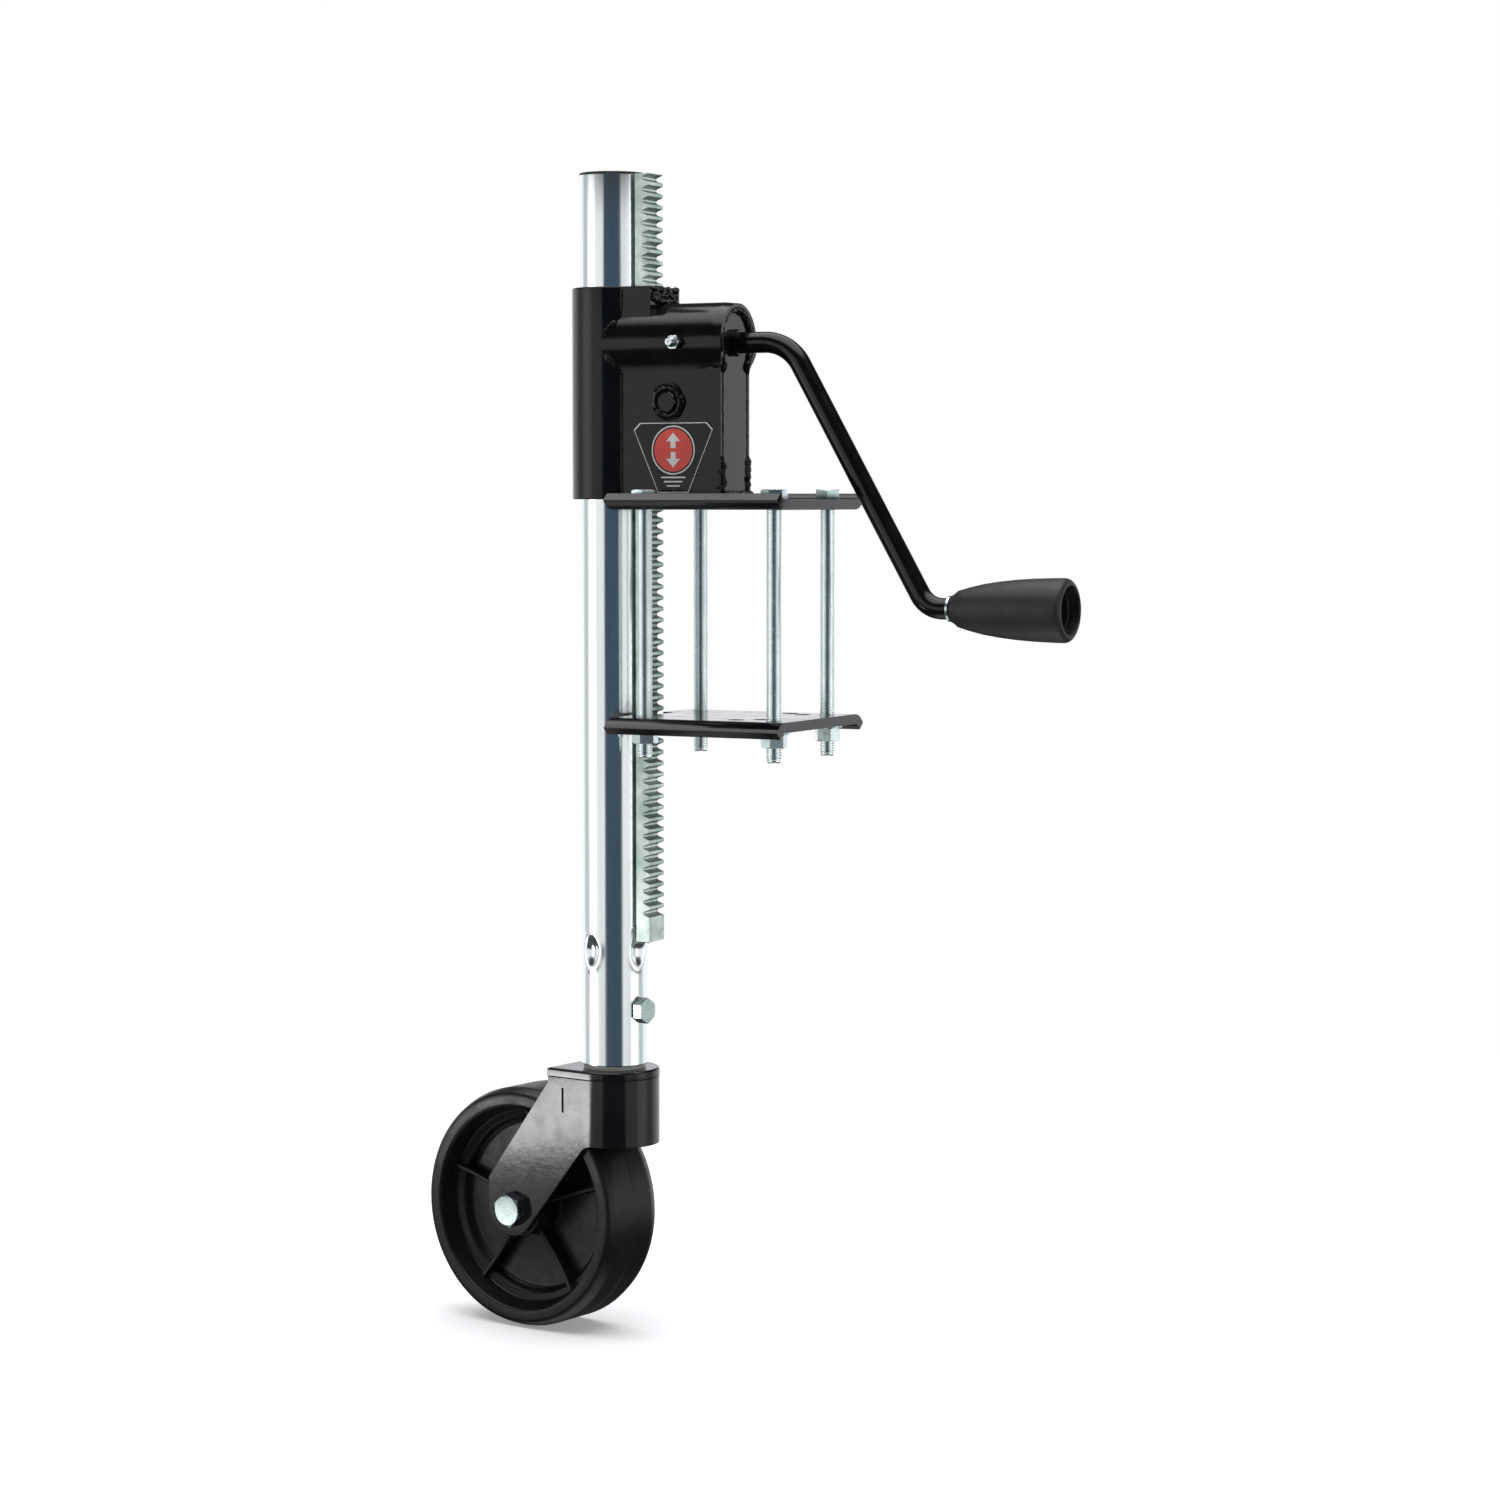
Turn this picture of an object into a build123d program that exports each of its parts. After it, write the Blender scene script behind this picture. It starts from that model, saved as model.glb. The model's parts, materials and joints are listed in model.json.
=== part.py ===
from build123d import *
import os
from math import atan2, cos, degrees, pi, radians, sin, sqrt, tan

# Bolt-through tongue jack: a tube with a toothed rack slides in a sleeve, and a side crank
# drives it through a worm and one gear. All sizes are in millimetres.
# The model is drawn about the tube's axis: +Z up, +X from the tube towards the crank handle.
# It is written out with its origin at the centre of the clamp's bolt pattern, on the
# underside of the upper clamp plate.

# --- tube, sleeve and rack ---
tube_od = 42.16
tube_wall = 3.56
tube_top = 207.2
tube_cap_t = 1.2
tube_bottom = -349.0
sleeve_od = 50.8
sleeve_wall = 2.4
sleeve_top = 137.3
rack_width = 19.05
rack_back_x = 21.1
rack_tip_x = 30.6
rack_top = 207.0
rack_bottom = -270.0
rack_plain_end = 11.0
slot_half_width = 11.0
bush_height = 24.0
bush_clearance = 0.12

# --- gear train: worm on the crank, one gear, rack ---
gear_module = 2.2
gear_teeth = 19
pressure_angle = radians(20)
addendum = 2.0
dedendum = 2.5
rack_backlash = 0.3
gear_z = 65.9
gear_width = 19.0
pin_d = 12.7
worm_pitch_radius = 15.2
worm_core_radius = 12.4
worm_tip_radius = 16.9
worm_thread_half = 0.62
worm_start_x = 38.5
worm_length = 30.0
worm_turns = 2.6

# --- fits shared by the round pieces ---
press_gap = 0.02
running_gap = 0.06
crank_bush_r = 8.5
gear_bush_r = 8.25
wheel_bush_r = 8.5
spacer_r = 11.0
thrust_washer_r = 11.5
cross_pin_r = 2.5

# --- gear case ---
case_radius = 25.0
case_half_width = 19.0
case_wall = 3.2
case_end_x = 86.0
head_taper_length = 8.0
head_taper_depth = 0.8
head_reach = 2.5
bush_collar_r = 8.2
bush_collar_end_x = 90.0
end_plate_t = 5.5
channel_x = 37.0
channel_bottom = 90.0
boss_od = 23.5
boss_height = 3.0
zerk_x = 58.0

# --- clamp plates and bolts ---
plate_t = 6.35
plate_x0 = 26.5
plate_x1 = 145.0
plate_half_y = 60.0
plate_lip = 10.0
plate_bend = radians(50)
plate_bend_r = 8.0
plate_gap = 127.0
notch_half_y = 16.0
notch_x = 35.5
bolt_x0 = 42.4
bolt_spacing_x = 88.9
bolt_spacing_y = 73.2
bolt_hole_d = 10.3
bolt_shank_d = 9.4
bolt_length = 158.75
bolt_head_af = 14.3
bolt_head_h = 6.0
nut_h = 8.3
washer_od = 19.5
washer_t = 1.6
spare_step = 12.7
spare_near_y = 28.0

# --- crank and grip ---
crank_z = 102.0
rod_d = 13.0
crank_radius = 161.0
arm_angle = radians(60)
arm_start_x = 123.0
upper_bend = 28.0
lower_bend = 17.0
rod_end_x = 293.5
grip_x0 = 232.5
grip_x1 = 308.5
grip_small_r = 9.4
grip_large_r = 19.2
grip_bore_r = 6.8
grip_mouth_r = 14.5
grip_mouth_depth = 22.0
grip_washer_r = 7.9

# --- caster ---
swivel_deg = 9.2
fork_half_width = 28.4
fork_sheet = 2.7
cap_top = -351.6
cap_t = 5.5
cap_overhang = 0.2
cap_rear_s = 32.0
collar_bottom = -399.5
leg_rear_s = 81.0
axle_s = 60.5
axle_z = -445.7
axle_d = 12.7
axle_head_af = 19.05
axle_head_h = 7.0
mark_s = 19.5
mark_z = -371.5
mark_length = 15.0
mark_width = 1.2
mark_depth = 1.0
wheel_radius = 77.0
wheel_half_width = 24.4
hub_half_width = 24.7
hub_radius = 18.0
stem_d = 25.4
stem_top = -272.0
dimple_z = -276.4
retainer_z = -314.0
retainer_phi = radians(80)

tube_r = tube_od / 2
sleeve_r = sleeve_od / 2
pitch = pi * gear_module
gear_r = gear_module * gear_teeth / 2
rack_pitch_x = rack_tip_x - addendum
gear_x = rack_pitch_x + gear_r
pattern_x = bolt_x0 + bolt_spacing_x / 2
lower_top = -plate_gap
lower_bottom = -plate_gap - plate_t
handle_z = crank_z - crank_radius
arm_end_x = arm_start_x + crank_radius / tan(arm_angle)
bushing_x = channel_x - case_wall
SITS = (Align.CENTER, Align.CENTER, Align.MIN)

to_x = Rot(0, 90, 0)
to_y = Rot(-90, 0, 0)
to_front = Rot(90, 0, 0)
row = Pos(-pattern_x, 0, 0)
caster = Rot(0, 0, -swivel_deg)


def rod(radius, start, end):
    """A round bar about +Z between two heights."""
    return Pos(0, 0, start) * Cylinder(radius, end - start, align=SITS)


def tube(outer, inner, start, end):
    """A round tube about +Z between two heights."""
    return rod(outer, start, end) - rod(inner, start - 1, end + 1)


def block(x0, x1, y0, y1, z0, z1):
    """A box between two corners."""
    size = Box(x1 - x0, y1 - y0, z1 - z0)
    return Pos((x0 + x1) / 2, (y0 + y1) / 2, (z0 + z1) / 2) * size


def hexagon(across_flats, start, end, turn=0):
    """A six-sided bar about +Z between two heights, with its outer corners turned off."""
    outline = RegularPolygon(across_flats / 2, 6, major_radius=False, rotation=turn)
    bar = Pos(0, 0, start) * extrude(outline, end - start)
    corner = across_flats / sqrt(3)
    cone = Cone(corner + (end - start), corner * 0.93, end - start, align=SITS)
    return bar & (Pos(0, 0, start) * cone)


def hex_nut(across_flats, bore, start, end, turn=0):
    """A nut chamfered on its far face."""
    return hexagon(across_flats, start, end, turn) - rod(bore, start - 1, end + 1)


def group(pieces):
    """Several separate solids that share one node."""
    return Compound([solid for piece in pieces for solid in piece.solids()])


def at_clamp_bolts(piece):
    """One copy of a piece at each of the four clamp bolts."""
    places = []
    for x in (bolt_x0, bolt_x0 + bolt_spacing_x):
        for y in (-bolt_spacing_y / 2, bolt_spacing_y / 2):
            places.append(Pos(x, y, 0) * piece)
    return group(places)


# --- sleeve and its bushes ---
def rack_slot(start, end):
    """The clear way for the rack on the sleeve's +X side."""
    return block(0, sleeve_r + 5, -slot_half_width, slot_half_width, start, end)


def outer_sleeve():
    wall = tube(sleeve_r, sleeve_r - sleeve_wall, plate_t, sleeve_top)
    return wall - rack_slot(plate_t - 1, sleeve_top + 1)


def guide_bush(start):
    end = start + bush_height
    ring = tube(sleeve_r - sleeve_wall - press_gap, tube_r + bush_clearance, start, end)
    return ring - rack_slot(start - 1, end + 1)


# --- gear case ---
def keyhole(radius, half_width, bottom):
    """The case's section: a round head on a straight-sided neck."""
    neck_height = crank_z - bottom
    neck = Pos(0, bottom + neck_height / 2) * Rectangle(2 * half_width, neck_height)
    return Plane.YZ * (Pos(0, crank_z) * Circle(radius) + neck)


def gear_case_shell():
    """Round head over straight sides, the head tapering in and standing past the end plate."""
    head_end_x = case_end_x + head_reach
    taper_x = head_end_x - head_taper_length
    outer = extrude(keyhole(case_radius, case_half_width, plate_t), taper_x)
    outer += block(0, case_end_x, -case_half_width, case_half_width, plate_t, crank_z)
    cone = Cone(case_radius, case_radius - head_taper_depth, head_taper_length, align=SITS)
    junction_z = crank_z - sqrt(case_radius**2 - case_half_width**2)
    slope_top_z = junction_z + 9
    slope = Polyline((case_end_x, 0), (case_end_x, junction_z), (head_end_x, slope_top_z), (head_end_x, 0))
    below = extrude(Plane.XZ * make_face([slope, Line(slope @ 1, slope @ 0)]), 2 * case_radius)
    outer += Pos(taper_x, 0, crank_z) * to_x * cone - Pos(0, case_radius, 0) * below
    hollow = keyhole(case_radius - case_wall, case_half_width - case_wall, plate_t - 1)
    inner = extrude(hollow, head_end_x + 1)
    shell = outer - inner - rod(sleeve_r, 0, sleeve_top + 10)
    channel = block(-1, channel_x, -case_half_width, case_half_width, channel_bottom, sleeve_top + 1)
    axle_hole = Pos(gear_x, -30, gear_z) * to_y * rod(pin_d / 2, 0, 60)
    grease_hole = Pos(zerk_x, 0, crank_z) * to_front * rod(2.9, 0, 30)
    return shell - channel - axle_hole - grease_hole


def rack_channel():
    """The square passage that guards the rack above the gear, closed towards the crank."""
    walls = block(0, channel_x, -case_half_width, case_half_width, channel_bottom, sleeve_top)
    inside = case_half_width - case_wall
    walls -= block(-1, bushing_x, -inside, inside, channel_bottom - 1, sleeve_top + 1)
    bore = Pos(0, 0, crank_z) * to_x * rod(crank_bush_r, 0, channel_x + 1)
    return walls - rod(sleeve_r, 0, sleeve_top + 10) - bore


def case_end_plate():
    inset = case_wall + press_gap
    section = keyhole(case_radius - inset, case_half_width - inset, plate_t)
    plate = Pos(case_end_x - end_plate_t, 0, 0) * extrude(section, end_plate_t)
    return plate - Pos(0, 0, crank_z) * to_x * rod(crank_bush_r, 0, case_end_x + 1)


def crank_bushing(start, end):
    """A bronze bush for the crank rod."""
    bush = tube(crank_bush_r - press_gap, rod_d / 2 + running_gap, start, end)
    return Pos(0, 0, crank_z) * to_x * bush


def crank_bushing_outer():
    """The end plate's bush, with a collar that stands out round the rod."""
    collar = tube(bush_collar_r, rod_d / 2 + running_gap, case_end_x - 0.5, bush_collar_end_x)
    body = crank_bushing(case_end_x - end_plate_t, case_end_x)
    return body + Pos(0, 0, crank_z) * to_x * collar


def on_gear_axis(piece):
    """Turns a piece drawn about +Z to lie about the gear pin's axis."""
    return Pos(gear_x, 0, gear_z) * to_y * piece


def gear_axle_pin():
    reach = case_half_width + boss_height
    pin = rod(pin_d / 2 - press_gap, -reach, reach)
    return on_gear_axis(chamfer(pin.edges(), 0.8))


def pin_bosses():
    """Domed rings welded round each end of the gear pin."""
    top = case_half_width + boss_height
    boss = tube(boss_od / 2, pin_d / 2 + press_gap, case_half_width, top)
    rim = [e for e in boss.edges() if e.center().Z > top - 0.1 and e.length > pi * (boss_od - 4)]
    boss = fillet(rim, boss_height * 0.85)
    return group([on_gear_axis(boss), on_gear_axis(Rot(180, 0, 0) * boss)])


def grease_fitting():
    face = case_radius
    stem = rod(2.85, face - 4.0, face + 0.6)
    nut = hexagon(8.0, face + 0.6, face + 4.6)
    neck = rod(2.4, face + 4.6, face + 6.4)
    nose = Pos(0, 0, face + 6.4) * Cone(3.2, 2.2, 3.2, align=SITS)
    channel = rod(0.9, face - 5, face + 8.2) + rod(0.45, face + 8.0, face + 12)
    body = stem + nut + neck + nose - channel
    ball_seat = Pos(0, 0, face + 7.2) * Sphere(1.1)
    return Pos(zerk_x, 0, crank_z) * to_front * (body - ball_seat)


def grease_fitting_ball():
    return Pos(zerk_x, 0, crank_z) * to_front * (Pos(0, 0, case_radius + 7.2) * Sphere(0.95))


def maker_label():
    """A thin six-sided plate on the case's front face."""
    top, shoulder, bottom = 54.0, 49.8, 9.6
    centre = 53.1
    half_widths = ((24.1, top), (28.3, shoulder), (10.9, bottom))
    left = [(centre - half, z) for half, z in half_widths]
    right = [(centre + half, z) for half, z in reversed(half_widths)]
    outline = Plane.XZ * Polygon(*left, *right, align=None)
    return Pos(0, -case_half_width, 0) * extrude(outline, 0.25)


# --- gear, worm and their washers ---
def tooth_half_angle(radius, backlash):
    """Half the angle that an involute tooth covers at a radius."""
    base_radius = gear_r * cos(pressure_angle)

    def involute(angle):
        return tan(angle) - angle

    at_pitch = (pitch / 2 - backlash) / 2 / gear_r
    local = 0 if radius <= base_radius else atan2(sqrt(radius**2 - base_radius**2), base_radius)
    return at_pitch + involute(pressure_angle) - involute(local)


def drive_gear():
    """Spur gear whose teeth meet both the rack and the worm."""
    root = gear_r - dedendum
    tip = gear_r + addendum
    radii = [root, gear_r * cos(pressure_angle), gear_r - 0.4, gear_r + 0.8, tip]
    outline = []
    for tooth in range(gear_teeth):
        centre = pi + 2 * pi * tooth / gear_teeth
        flank = [(r, tooth_half_angle(r, rack_backlash)) for r in radii]
        for r, half in flank:
            outline.append((r * cos(centre - half), r * sin(centre - half)))
        for r, half in reversed(flank):
            outline.append((r * cos(centre + half), r * sin(centre + half)))
    blank = extrude(Polygon(*outline, align=None), gear_width)
    blank -= rod(gear_bush_r, -1, gear_width + 1)
    return Pos(gear_x, gear_width / 2, gear_z) * to_front * blank


def gear_bushing():
    half = gear_width / 2
    return on_gear_axis(tube(gear_bush_r - press_gap, pin_d / 2 + running_gap, -half, half))


def gear_side_spacers():
    inner = gear_width / 2 + 0.1
    outer = case_half_width - case_wall - 0.1
    spacer = tube(spacer_r, pin_d / 2 + running_gap, inner, outer)
    return group([on_gear_axis(spacer), on_gear_axis(Rot(180, 0, 0) * spacer)])


def gear_space_offset():
    """How far from the gear's top, along X, the tooth space nearest to it lies."""
    tooth = 360 / gear_teeth
    past_top = 90 % tooth
    return gear_r * sin(radians(tooth / 2 - past_top))


def worm():
    """Single-start left-hand worm, drawn about +Z and then laid along the crank."""
    core = tube(worm_core_radius, rod_d / 2 + press_gap, 0, worm_length)
    start = gear_x + gear_space_offset() - pitch - worm_start_x
    root_half = worm_thread_half + (worm_tip_radius - worm_core_radius) * tan(pressure_angle)
    path = Helix(pitch, worm_turns * pitch, worm_pitch_radius, center=(0, 0, start), lefthand=True)
    section = Plane.XZ * Polygon(
        (worm_core_radius - 0.4, start - root_half),
        (worm_tip_radius, start - worm_thread_half),
        (worm_tip_radius, start + worm_thread_half),
        (worm_core_radius - 0.4, start + root_half),
        align=None,
    )
    thread = sweep(section, path, is_frenet=True)
    pin_hole = Pos(0, 0, worm_length - 4) * to_y * rod(cross_pin_r, -20, 20)
    return Pos(worm_start_x, 0, crank_z) * to_x * (core + thread - pin_hole)


def worm_pin():
    half = worm_core_radius - 0.3
    pin = to_y * rod(cross_pin_r - press_gap, -half, half)
    return Pos(worm_start_x + worm_length - 4, 0, crank_z) * pin


def crank_spacer():
    start = worm_start_x + worm_length + 0.05
    end = case_end_x - end_plate_t - 2.8
    return Pos(0, 0, crank_z) * to_x * tube(10.0, rod_d / 2 + 0.1, start, end)


def crank_thrust_washers():
    bore = rod_d / 2 + 0.15
    inner = tube(thrust_washer_r, bore, channel_x + 0.1, worm_start_x - 0.1)
    end = case_end_x - end_plate_t - 1.2
    outer = tube(thrust_washer_r, bore, end - 1.5, end)
    return group([Pos(0, 0, crank_z) * to_x * washer for washer in (inner, outer)])


# --- crank handle and grip ---
def crank_handle():
    path = FilletPolyline(
        (bushing_x - 0.9, 0, crank_z),
        (arm_start_x, 0, crank_z),
        (arm_end_x, 0, handle_z),
        (rod_end_x, 0, handle_z),
        radius=(upper_bend, lower_bend),
    )
    bar = sweep(Plane(path @ 0, z_dir=path % 0) * Circle(rod_d / 2), path)
    pin_x = worm_start_x + worm_length - 4
    pin_hole = Pos(pin_x, 0, crank_z) * to_y * rod(cross_pin_r, -20, 20)
    ring_groove = tube(rod_d, rod_d / 2 - 1.0, rod_end_x - 4.4, rod_end_x - 2.6)
    return bar - pin_hole - Pos(0, 0, handle_z) * to_x * ring_groove


def grip_washer():
    washer = tube(grip_washer_r, rod_d / 2 + running_gap, grip_x0 - 2.0, grip_x0 - 0.4)
    return Pos(0, 0, handle_z) * to_x * washer


def grip_retainer():
    """Ring snapped into the rod's groove inside the grip's mouth."""
    ring = tube(12.0, rod_d / 2 - 0.9, rod_end_x - 4.3, rod_end_x - 2.7)
    return Pos(0, 0, handle_z) * to_x * ring


def crank_grip():
    length = grip_x1 - grip_x0
    swell = Spline(
        (grip_small_r, 2.5),
        (grip_large_r * 0.79, length * 0.27),
        (grip_large_r * 0.93, length * 0.55),
        (grip_large_r, length - 6),
    )
    rounded = RadiusArc(swell @ 1, (grip_large_r - 3.5, length), 4.5)
    front = Polyline((0, 0), (grip_small_r - 2.4, 0), swell @ 0)
    back = Polyline(rounded @ 1, (0, length), (0, 0))
    body = revolve(Plane.XZ * make_face([front, swell, rounded, back]), Axis.Z)
    body -= rod(grip_bore_r, -1, length + 1)
    body -= rod(grip_mouth_r, length - grip_mouth_depth, length + 1)
    return Pos(grip_x0, 0, handle_z) * to_x * body


# --- clamp plates and their fasteners ---
def clamp_plate():
    """Flat plate with its two long edges bent up, notched for the rack."""
    outer_r = plate_bend_r + plate_t
    bend_height = outer_r * (1 - cos(plate_bend)) + plate_t * cos(plate_bend)
    straight = (plate_lip - bend_height) / sin(plate_bend)
    bend_y = plate_half_y - outer_r * sin(plate_bend) - straight * cos(plate_bend)
    under = JernArc((bend_y, 0), (1, 0), outer_r, degrees(plate_bend))
    over = JernArc((bend_y, plate_t), (1, 0), plate_bend_r, degrees(plate_bend))
    run = Vector(cos(plate_bend), sin(plate_bend)) * straight
    tip = Polyline(under @ 1, (under @ 1) + run, (over @ 1) + run, over @ 1)
    flat = Polyline(over @ 0, (0, plate_t), (0, 0), under @ 0)
    profile = make_face([under, tip, over, flat])
    half = Pos(plate_x0, 0, 0) * extrude(Plane.YZ * profile, plate_x1 - plate_x0)
    plate = half + mirror(half, Plane.XZ)
    notch = block(plate_x0 - 1, notch_x, -notch_half_y, notch_half_y, -1, plate_lip + 1)
    inner_corners = [e for e in notch.edges().filter_by(Axis.Z) if e.center().X > notch_x - 0.1]
    plate -= fillet(inner_corners, 4)
    hole = rod(bolt_hole_d / 2, -1, plate_lip + 1)
    outer_x = bolt_x0 + bolt_spacing_x
    holes = [(bolt_x0, bolt_spacing_y / 2), (outer_x, bolt_spacing_y / 2)]
    holes += [(outer_x - spare_step, spare_near_y), (outer_x - 2 * spare_step, bolt_spacing_y / 2)]
    for x, y in holes:
        plate -= Pos(x, y, 0) * hole
        plate -= Pos(x, -y, 0) * hole
    return plate


def lower_clamp_plate():
    return Pos(0, 0, lower_top) * mirror(clamp_plate(), Plane.XY)


def clamp_bolt():
    head = hexagon(bolt_head_af, plate_t, plate_t + bolt_head_h)
    shank = rod(bolt_shank_d / 2, plate_t - bolt_length, plate_t + 1)
    foot = [e for e in shank.edges() if e.center().Z < 0]
    return head + chamfer(foot, 0.8)


def clamp_nut():
    start = lower_bottom - washer_t - nut_h
    turned = Rot(180, 0, 0) * hex_nut(bolt_head_af, bolt_shank_d / 2 + 0.02, 0, nut_h)
    return Pos(0, 0, start + nut_h) * turned


def clamp_washer():
    return tube(washer_od / 2, bolt_hole_d / 2, lower_bottom - washer_t, lower_bottom)


# --- sliding tube ---
def around_tube(radius, angle, z):
    """A place on a circle about the tube, the angle measured from the front towards the crank."""
    return Pos(radius * sin(angle), -radius * cos(angle), z)


def inner_tube():
    wall = tube(tube_r, tube_r - tube_wall, tube_bottom, tube_top)
    dimple = Sphere(8.0)
    for quarter in range(4):
        angle = radians(-14.5 + 90 * quarter)
        wall -= around_tube(tube_r + 6.7, angle, dimple_z) * dimple
    return wall - retainer_place() * rod(4.8, 0, 40)


def retainer_place():
    """The frame of the stem's retaining bolt: +Z points out of the tube."""
    return Pos(0, 0, retainer_z) * Rot(0, 0, degrees(retainer_phi) - 90) * to_x


def stem_retaining_bolt():
    bolt = rod(4.7, stem_d / 2 + 0.6, tube_r + 0.6) + rod(2.9, stem_d / 2 - 2.0, stem_d / 2 + 0.7)
    head = hexagon(bolt_head_af, tube_r + 0.1, tube_r + bolt_head_h)
    return retainer_place() * (bolt + head)


def stem_bearing_sleeve():
    bore = tube(tube_r - tube_wall - 0.02, stem_d / 2 + 0.1, tube_bottom, dimple_z + 14)
    return bore - retainer_place() * rod(4.8, 0, 40)


def tube_cap():
    flange = rod(tube_r - 0.3, tube_top, tube_top + tube_cap_t)
    flange = fillet([e for e in flange.edges() if e.center().Z > tube_top + 1], 0.8)
    bore_r = tube_r - tube_wall
    return flange + tube(bore_r - 0.05, bore_r - 2, tube_top - 12, tube_top + 0.5)


def rack():
    """Flat bar with teeth across its +X face, one tooth space level with the gear's centre."""
    half_at_pitch = (pitch / 2 + 0.1) / 2
    mouth = half_at_pitch + addendum * tan(pressure_angle)
    floor_x = rack_pitch_x - dedendum
    knee_x = floor_x + 0.7
    knee = half_at_pitch - (rack_pitch_x - knee_x) * tan(pressure_angle)
    first = int((rack_bottom + rack_plain_end + mouth - gear_z) / pitch)
    last = int((rack_top - mouth - gear_z) / pitch)
    outline = [(rack_back_x, rack_top), (rack_back_x, rack_bottom), (rack_tip_x, rack_bottom)]
    for space in range(first, last + 1):
        z = gear_z + space * pitch
        below = [(rack_tip_x, z - mouth), (knee_x, z - knee), (floor_x, z - knee + 0.5)]
        above = [(floor_x, z + knee - 0.5), (knee_x, z + knee), (rack_tip_x, z + mouth)]
        outline += below + above
    outline.append((rack_tip_x, rack_top))
    bar = extrude(Plane.XZ * Polygon(*outline, align=None), rack_width)
    return Pos(0, rack_width / 2, 0) * bar


# --- caster ---
def d_outline(half_width, front_radius, rear_s):
    """Plan of the fork: round in front, straight-sided behind. The rear lies along -X."""
    legs = Pos(-rear_s / 2, 0) * Rectangle(rear_s, 2 * half_width)
    return Circle(front_radius) + legs


def caster_fork():
    """Bent sheet: a collar in front and two legs reaching back to the axle, each with a stamped line."""
    reach = leg_rear_s + 20
    height = cap_top - cap_t - (axle_z - 25)
    outer = extrude(d_outline(fork_half_width, fork_half_width, reach), height)
    inner_half = fork_half_width - fork_sheet
    inner = extrude(d_outline(inner_half, inner_half, reach + 10), height)
    sheet = Pos(0, 0, axle_z - 25) * (outer - inner)
    top = cap_top - cap_t
    bottom = axle_z - 17.5
    leg = Polygon(
        (fork_half_width + 5, top),
        (-31.5, top),
        (-31.5, top - 3.5),
        (-leg_rear_s, -427.0),
        (-leg_rear_s, bottom),
        (-53.8, bottom),
        (-2.0, collar_bottom),
        (fork_half_width + 5, collar_bottom),
        align=None,
    )
    side = Pos(0, 60, 0) * extrude(Plane.XZ * leg, 120)
    for s, z, radius in ((-leg_rear_s, bottom, 17.0), (-53.8, bottom, 15.0), (-2.0, collar_bottom, 9.0)):
        lines = side.edges().filter_by(Axis.Y)
        corner = [e for e in lines if abs(e.center().X - s) < 0.01 and abs(e.center().Z - z) < 0.01]
        side = fillet(corner, radius)
    fork = (sheet & side) - along_axle(rod(axle_d / 2 + 0.15, -60, 60))
    groove = Box(mark_width, 2 * mark_depth, mark_length)
    for face_y in (-fork_half_width, fork_half_width):
        fork -= Pos(-mark_s, face_y, mark_z) * groove
    return caster * fork


def fork_cap_plate():
    half_width = fork_half_width + cap_overhang
    outline = d_outline(half_width, half_width, cap_rear_s)
    plate = Pos(0, 0, cap_top - cap_t) * extrude(outline, cap_t)
    rim = [e for e in plate.edges() if e.center().Z > cap_top - 0.1]
    plate = fillet(rim, 1.6)
    return caster * (plate - rod(stem_d / 2 + 0.02, cap_top - cap_t - 1, cap_top + 1))


def caster_stem():
    """Stud welded in the cap, grooved for the retaining bolt's tip."""
    stud = rod(stem_d / 2, cap_top - cap_t, stem_top)
    stud = chamfer([e for e in stud.edges() if e.center().Z > stem_top - 1], 1.5)
    groove = tube(stem_d, stem_d / 2 - 2.6, retainer_z - 3.6, retainer_z + 3.6)
    return stud - groove


def swivel_thrust_washer():
    return tube(tube_r - 1.6, stem_d / 2 + 0.3, cap_top + 0.05, tube_bottom - 0.3)


def along_axle(piece):
    """Lays a piece drawn about +Z along the wheel's axle, its +Z towards the front."""
    return Pos(-axle_s, 0, axle_z) * to_front * piece


def axle_bolt():
    head_start = fork_half_width + press_gap
    end = -fork_half_width - 18
    shank = rod(axle_d / 2, end, head_start + 1)
    shank = chamfer([e for e in shank.edges() if e.center().Z < 0], 1.0)
    return caster * along_axle(hexagon(axle_head_af, head_start, head_start + axle_head_h, 11) + shank)


def axle_nut():
    start = fork_half_width + press_gap
    nut = hex_nut(axle_head_af, axle_d / 2 + press_gap, start, start + 11.4)
    return caster * along_axle(Rot(180, 0, 0) * nut)


def axle_spacers():
    gap_end = fork_half_width - fork_sheet - 0.05
    spacer = tube(spacer_r, axle_d / 2 + 0.1, hub_half_width + 0.15, gap_end)
    return group([caster * along_axle(spacer), caster * along_axle(Rot(180, 0, 0) * spacer)])


def wheel():
    """Moulded wheel: solid rim, thin web, ribbed hub."""
    w = wheel_half_width
    section = Polygon(
        (wheel_bush_r, 0),
        (wheel_bush_r, hub_half_width),
        (hub_radius - 1.5, hub_half_width),
        (hub_radius, hub_half_width - 1.5),
        (hub_radius + 0.6, 4.0),
        (56.0, 4.0),
        (58.0, 10.0),
        (62.5, 11.5),
        (65.0, w - 1.5),
        (66.5, w),
        (71.0, w),
        (wheel_radius - 2.2, w - 1.6),
        (wheel_radius - 0.4, w - 4.6),
        (wheel_radius, w - 8.0),
        (wheel_radius, 0),
        align=None,
    )
    half = revolve(Plane.XZ * section, Axis.Z)
    rib = block(hub_radius - 2, 60.0, -1.6, 1.6, 3.0, 17.0)
    for spoke in range(5):
        half += Rot(0, 0, 17.5 + 72 * spoke) * rib
    half -= rod(wheel_bush_r, -1, 30)
    return caster * along_axle(half + mirror(half, Plane.XY))


def wheel_bushing():
    half = hub_half_width + 0.05
    bush = tube(wheel_bush_r - press_gap, axle_d / 2 + running_gap, -half, half)
    return caster * along_axle(bush)


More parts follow.
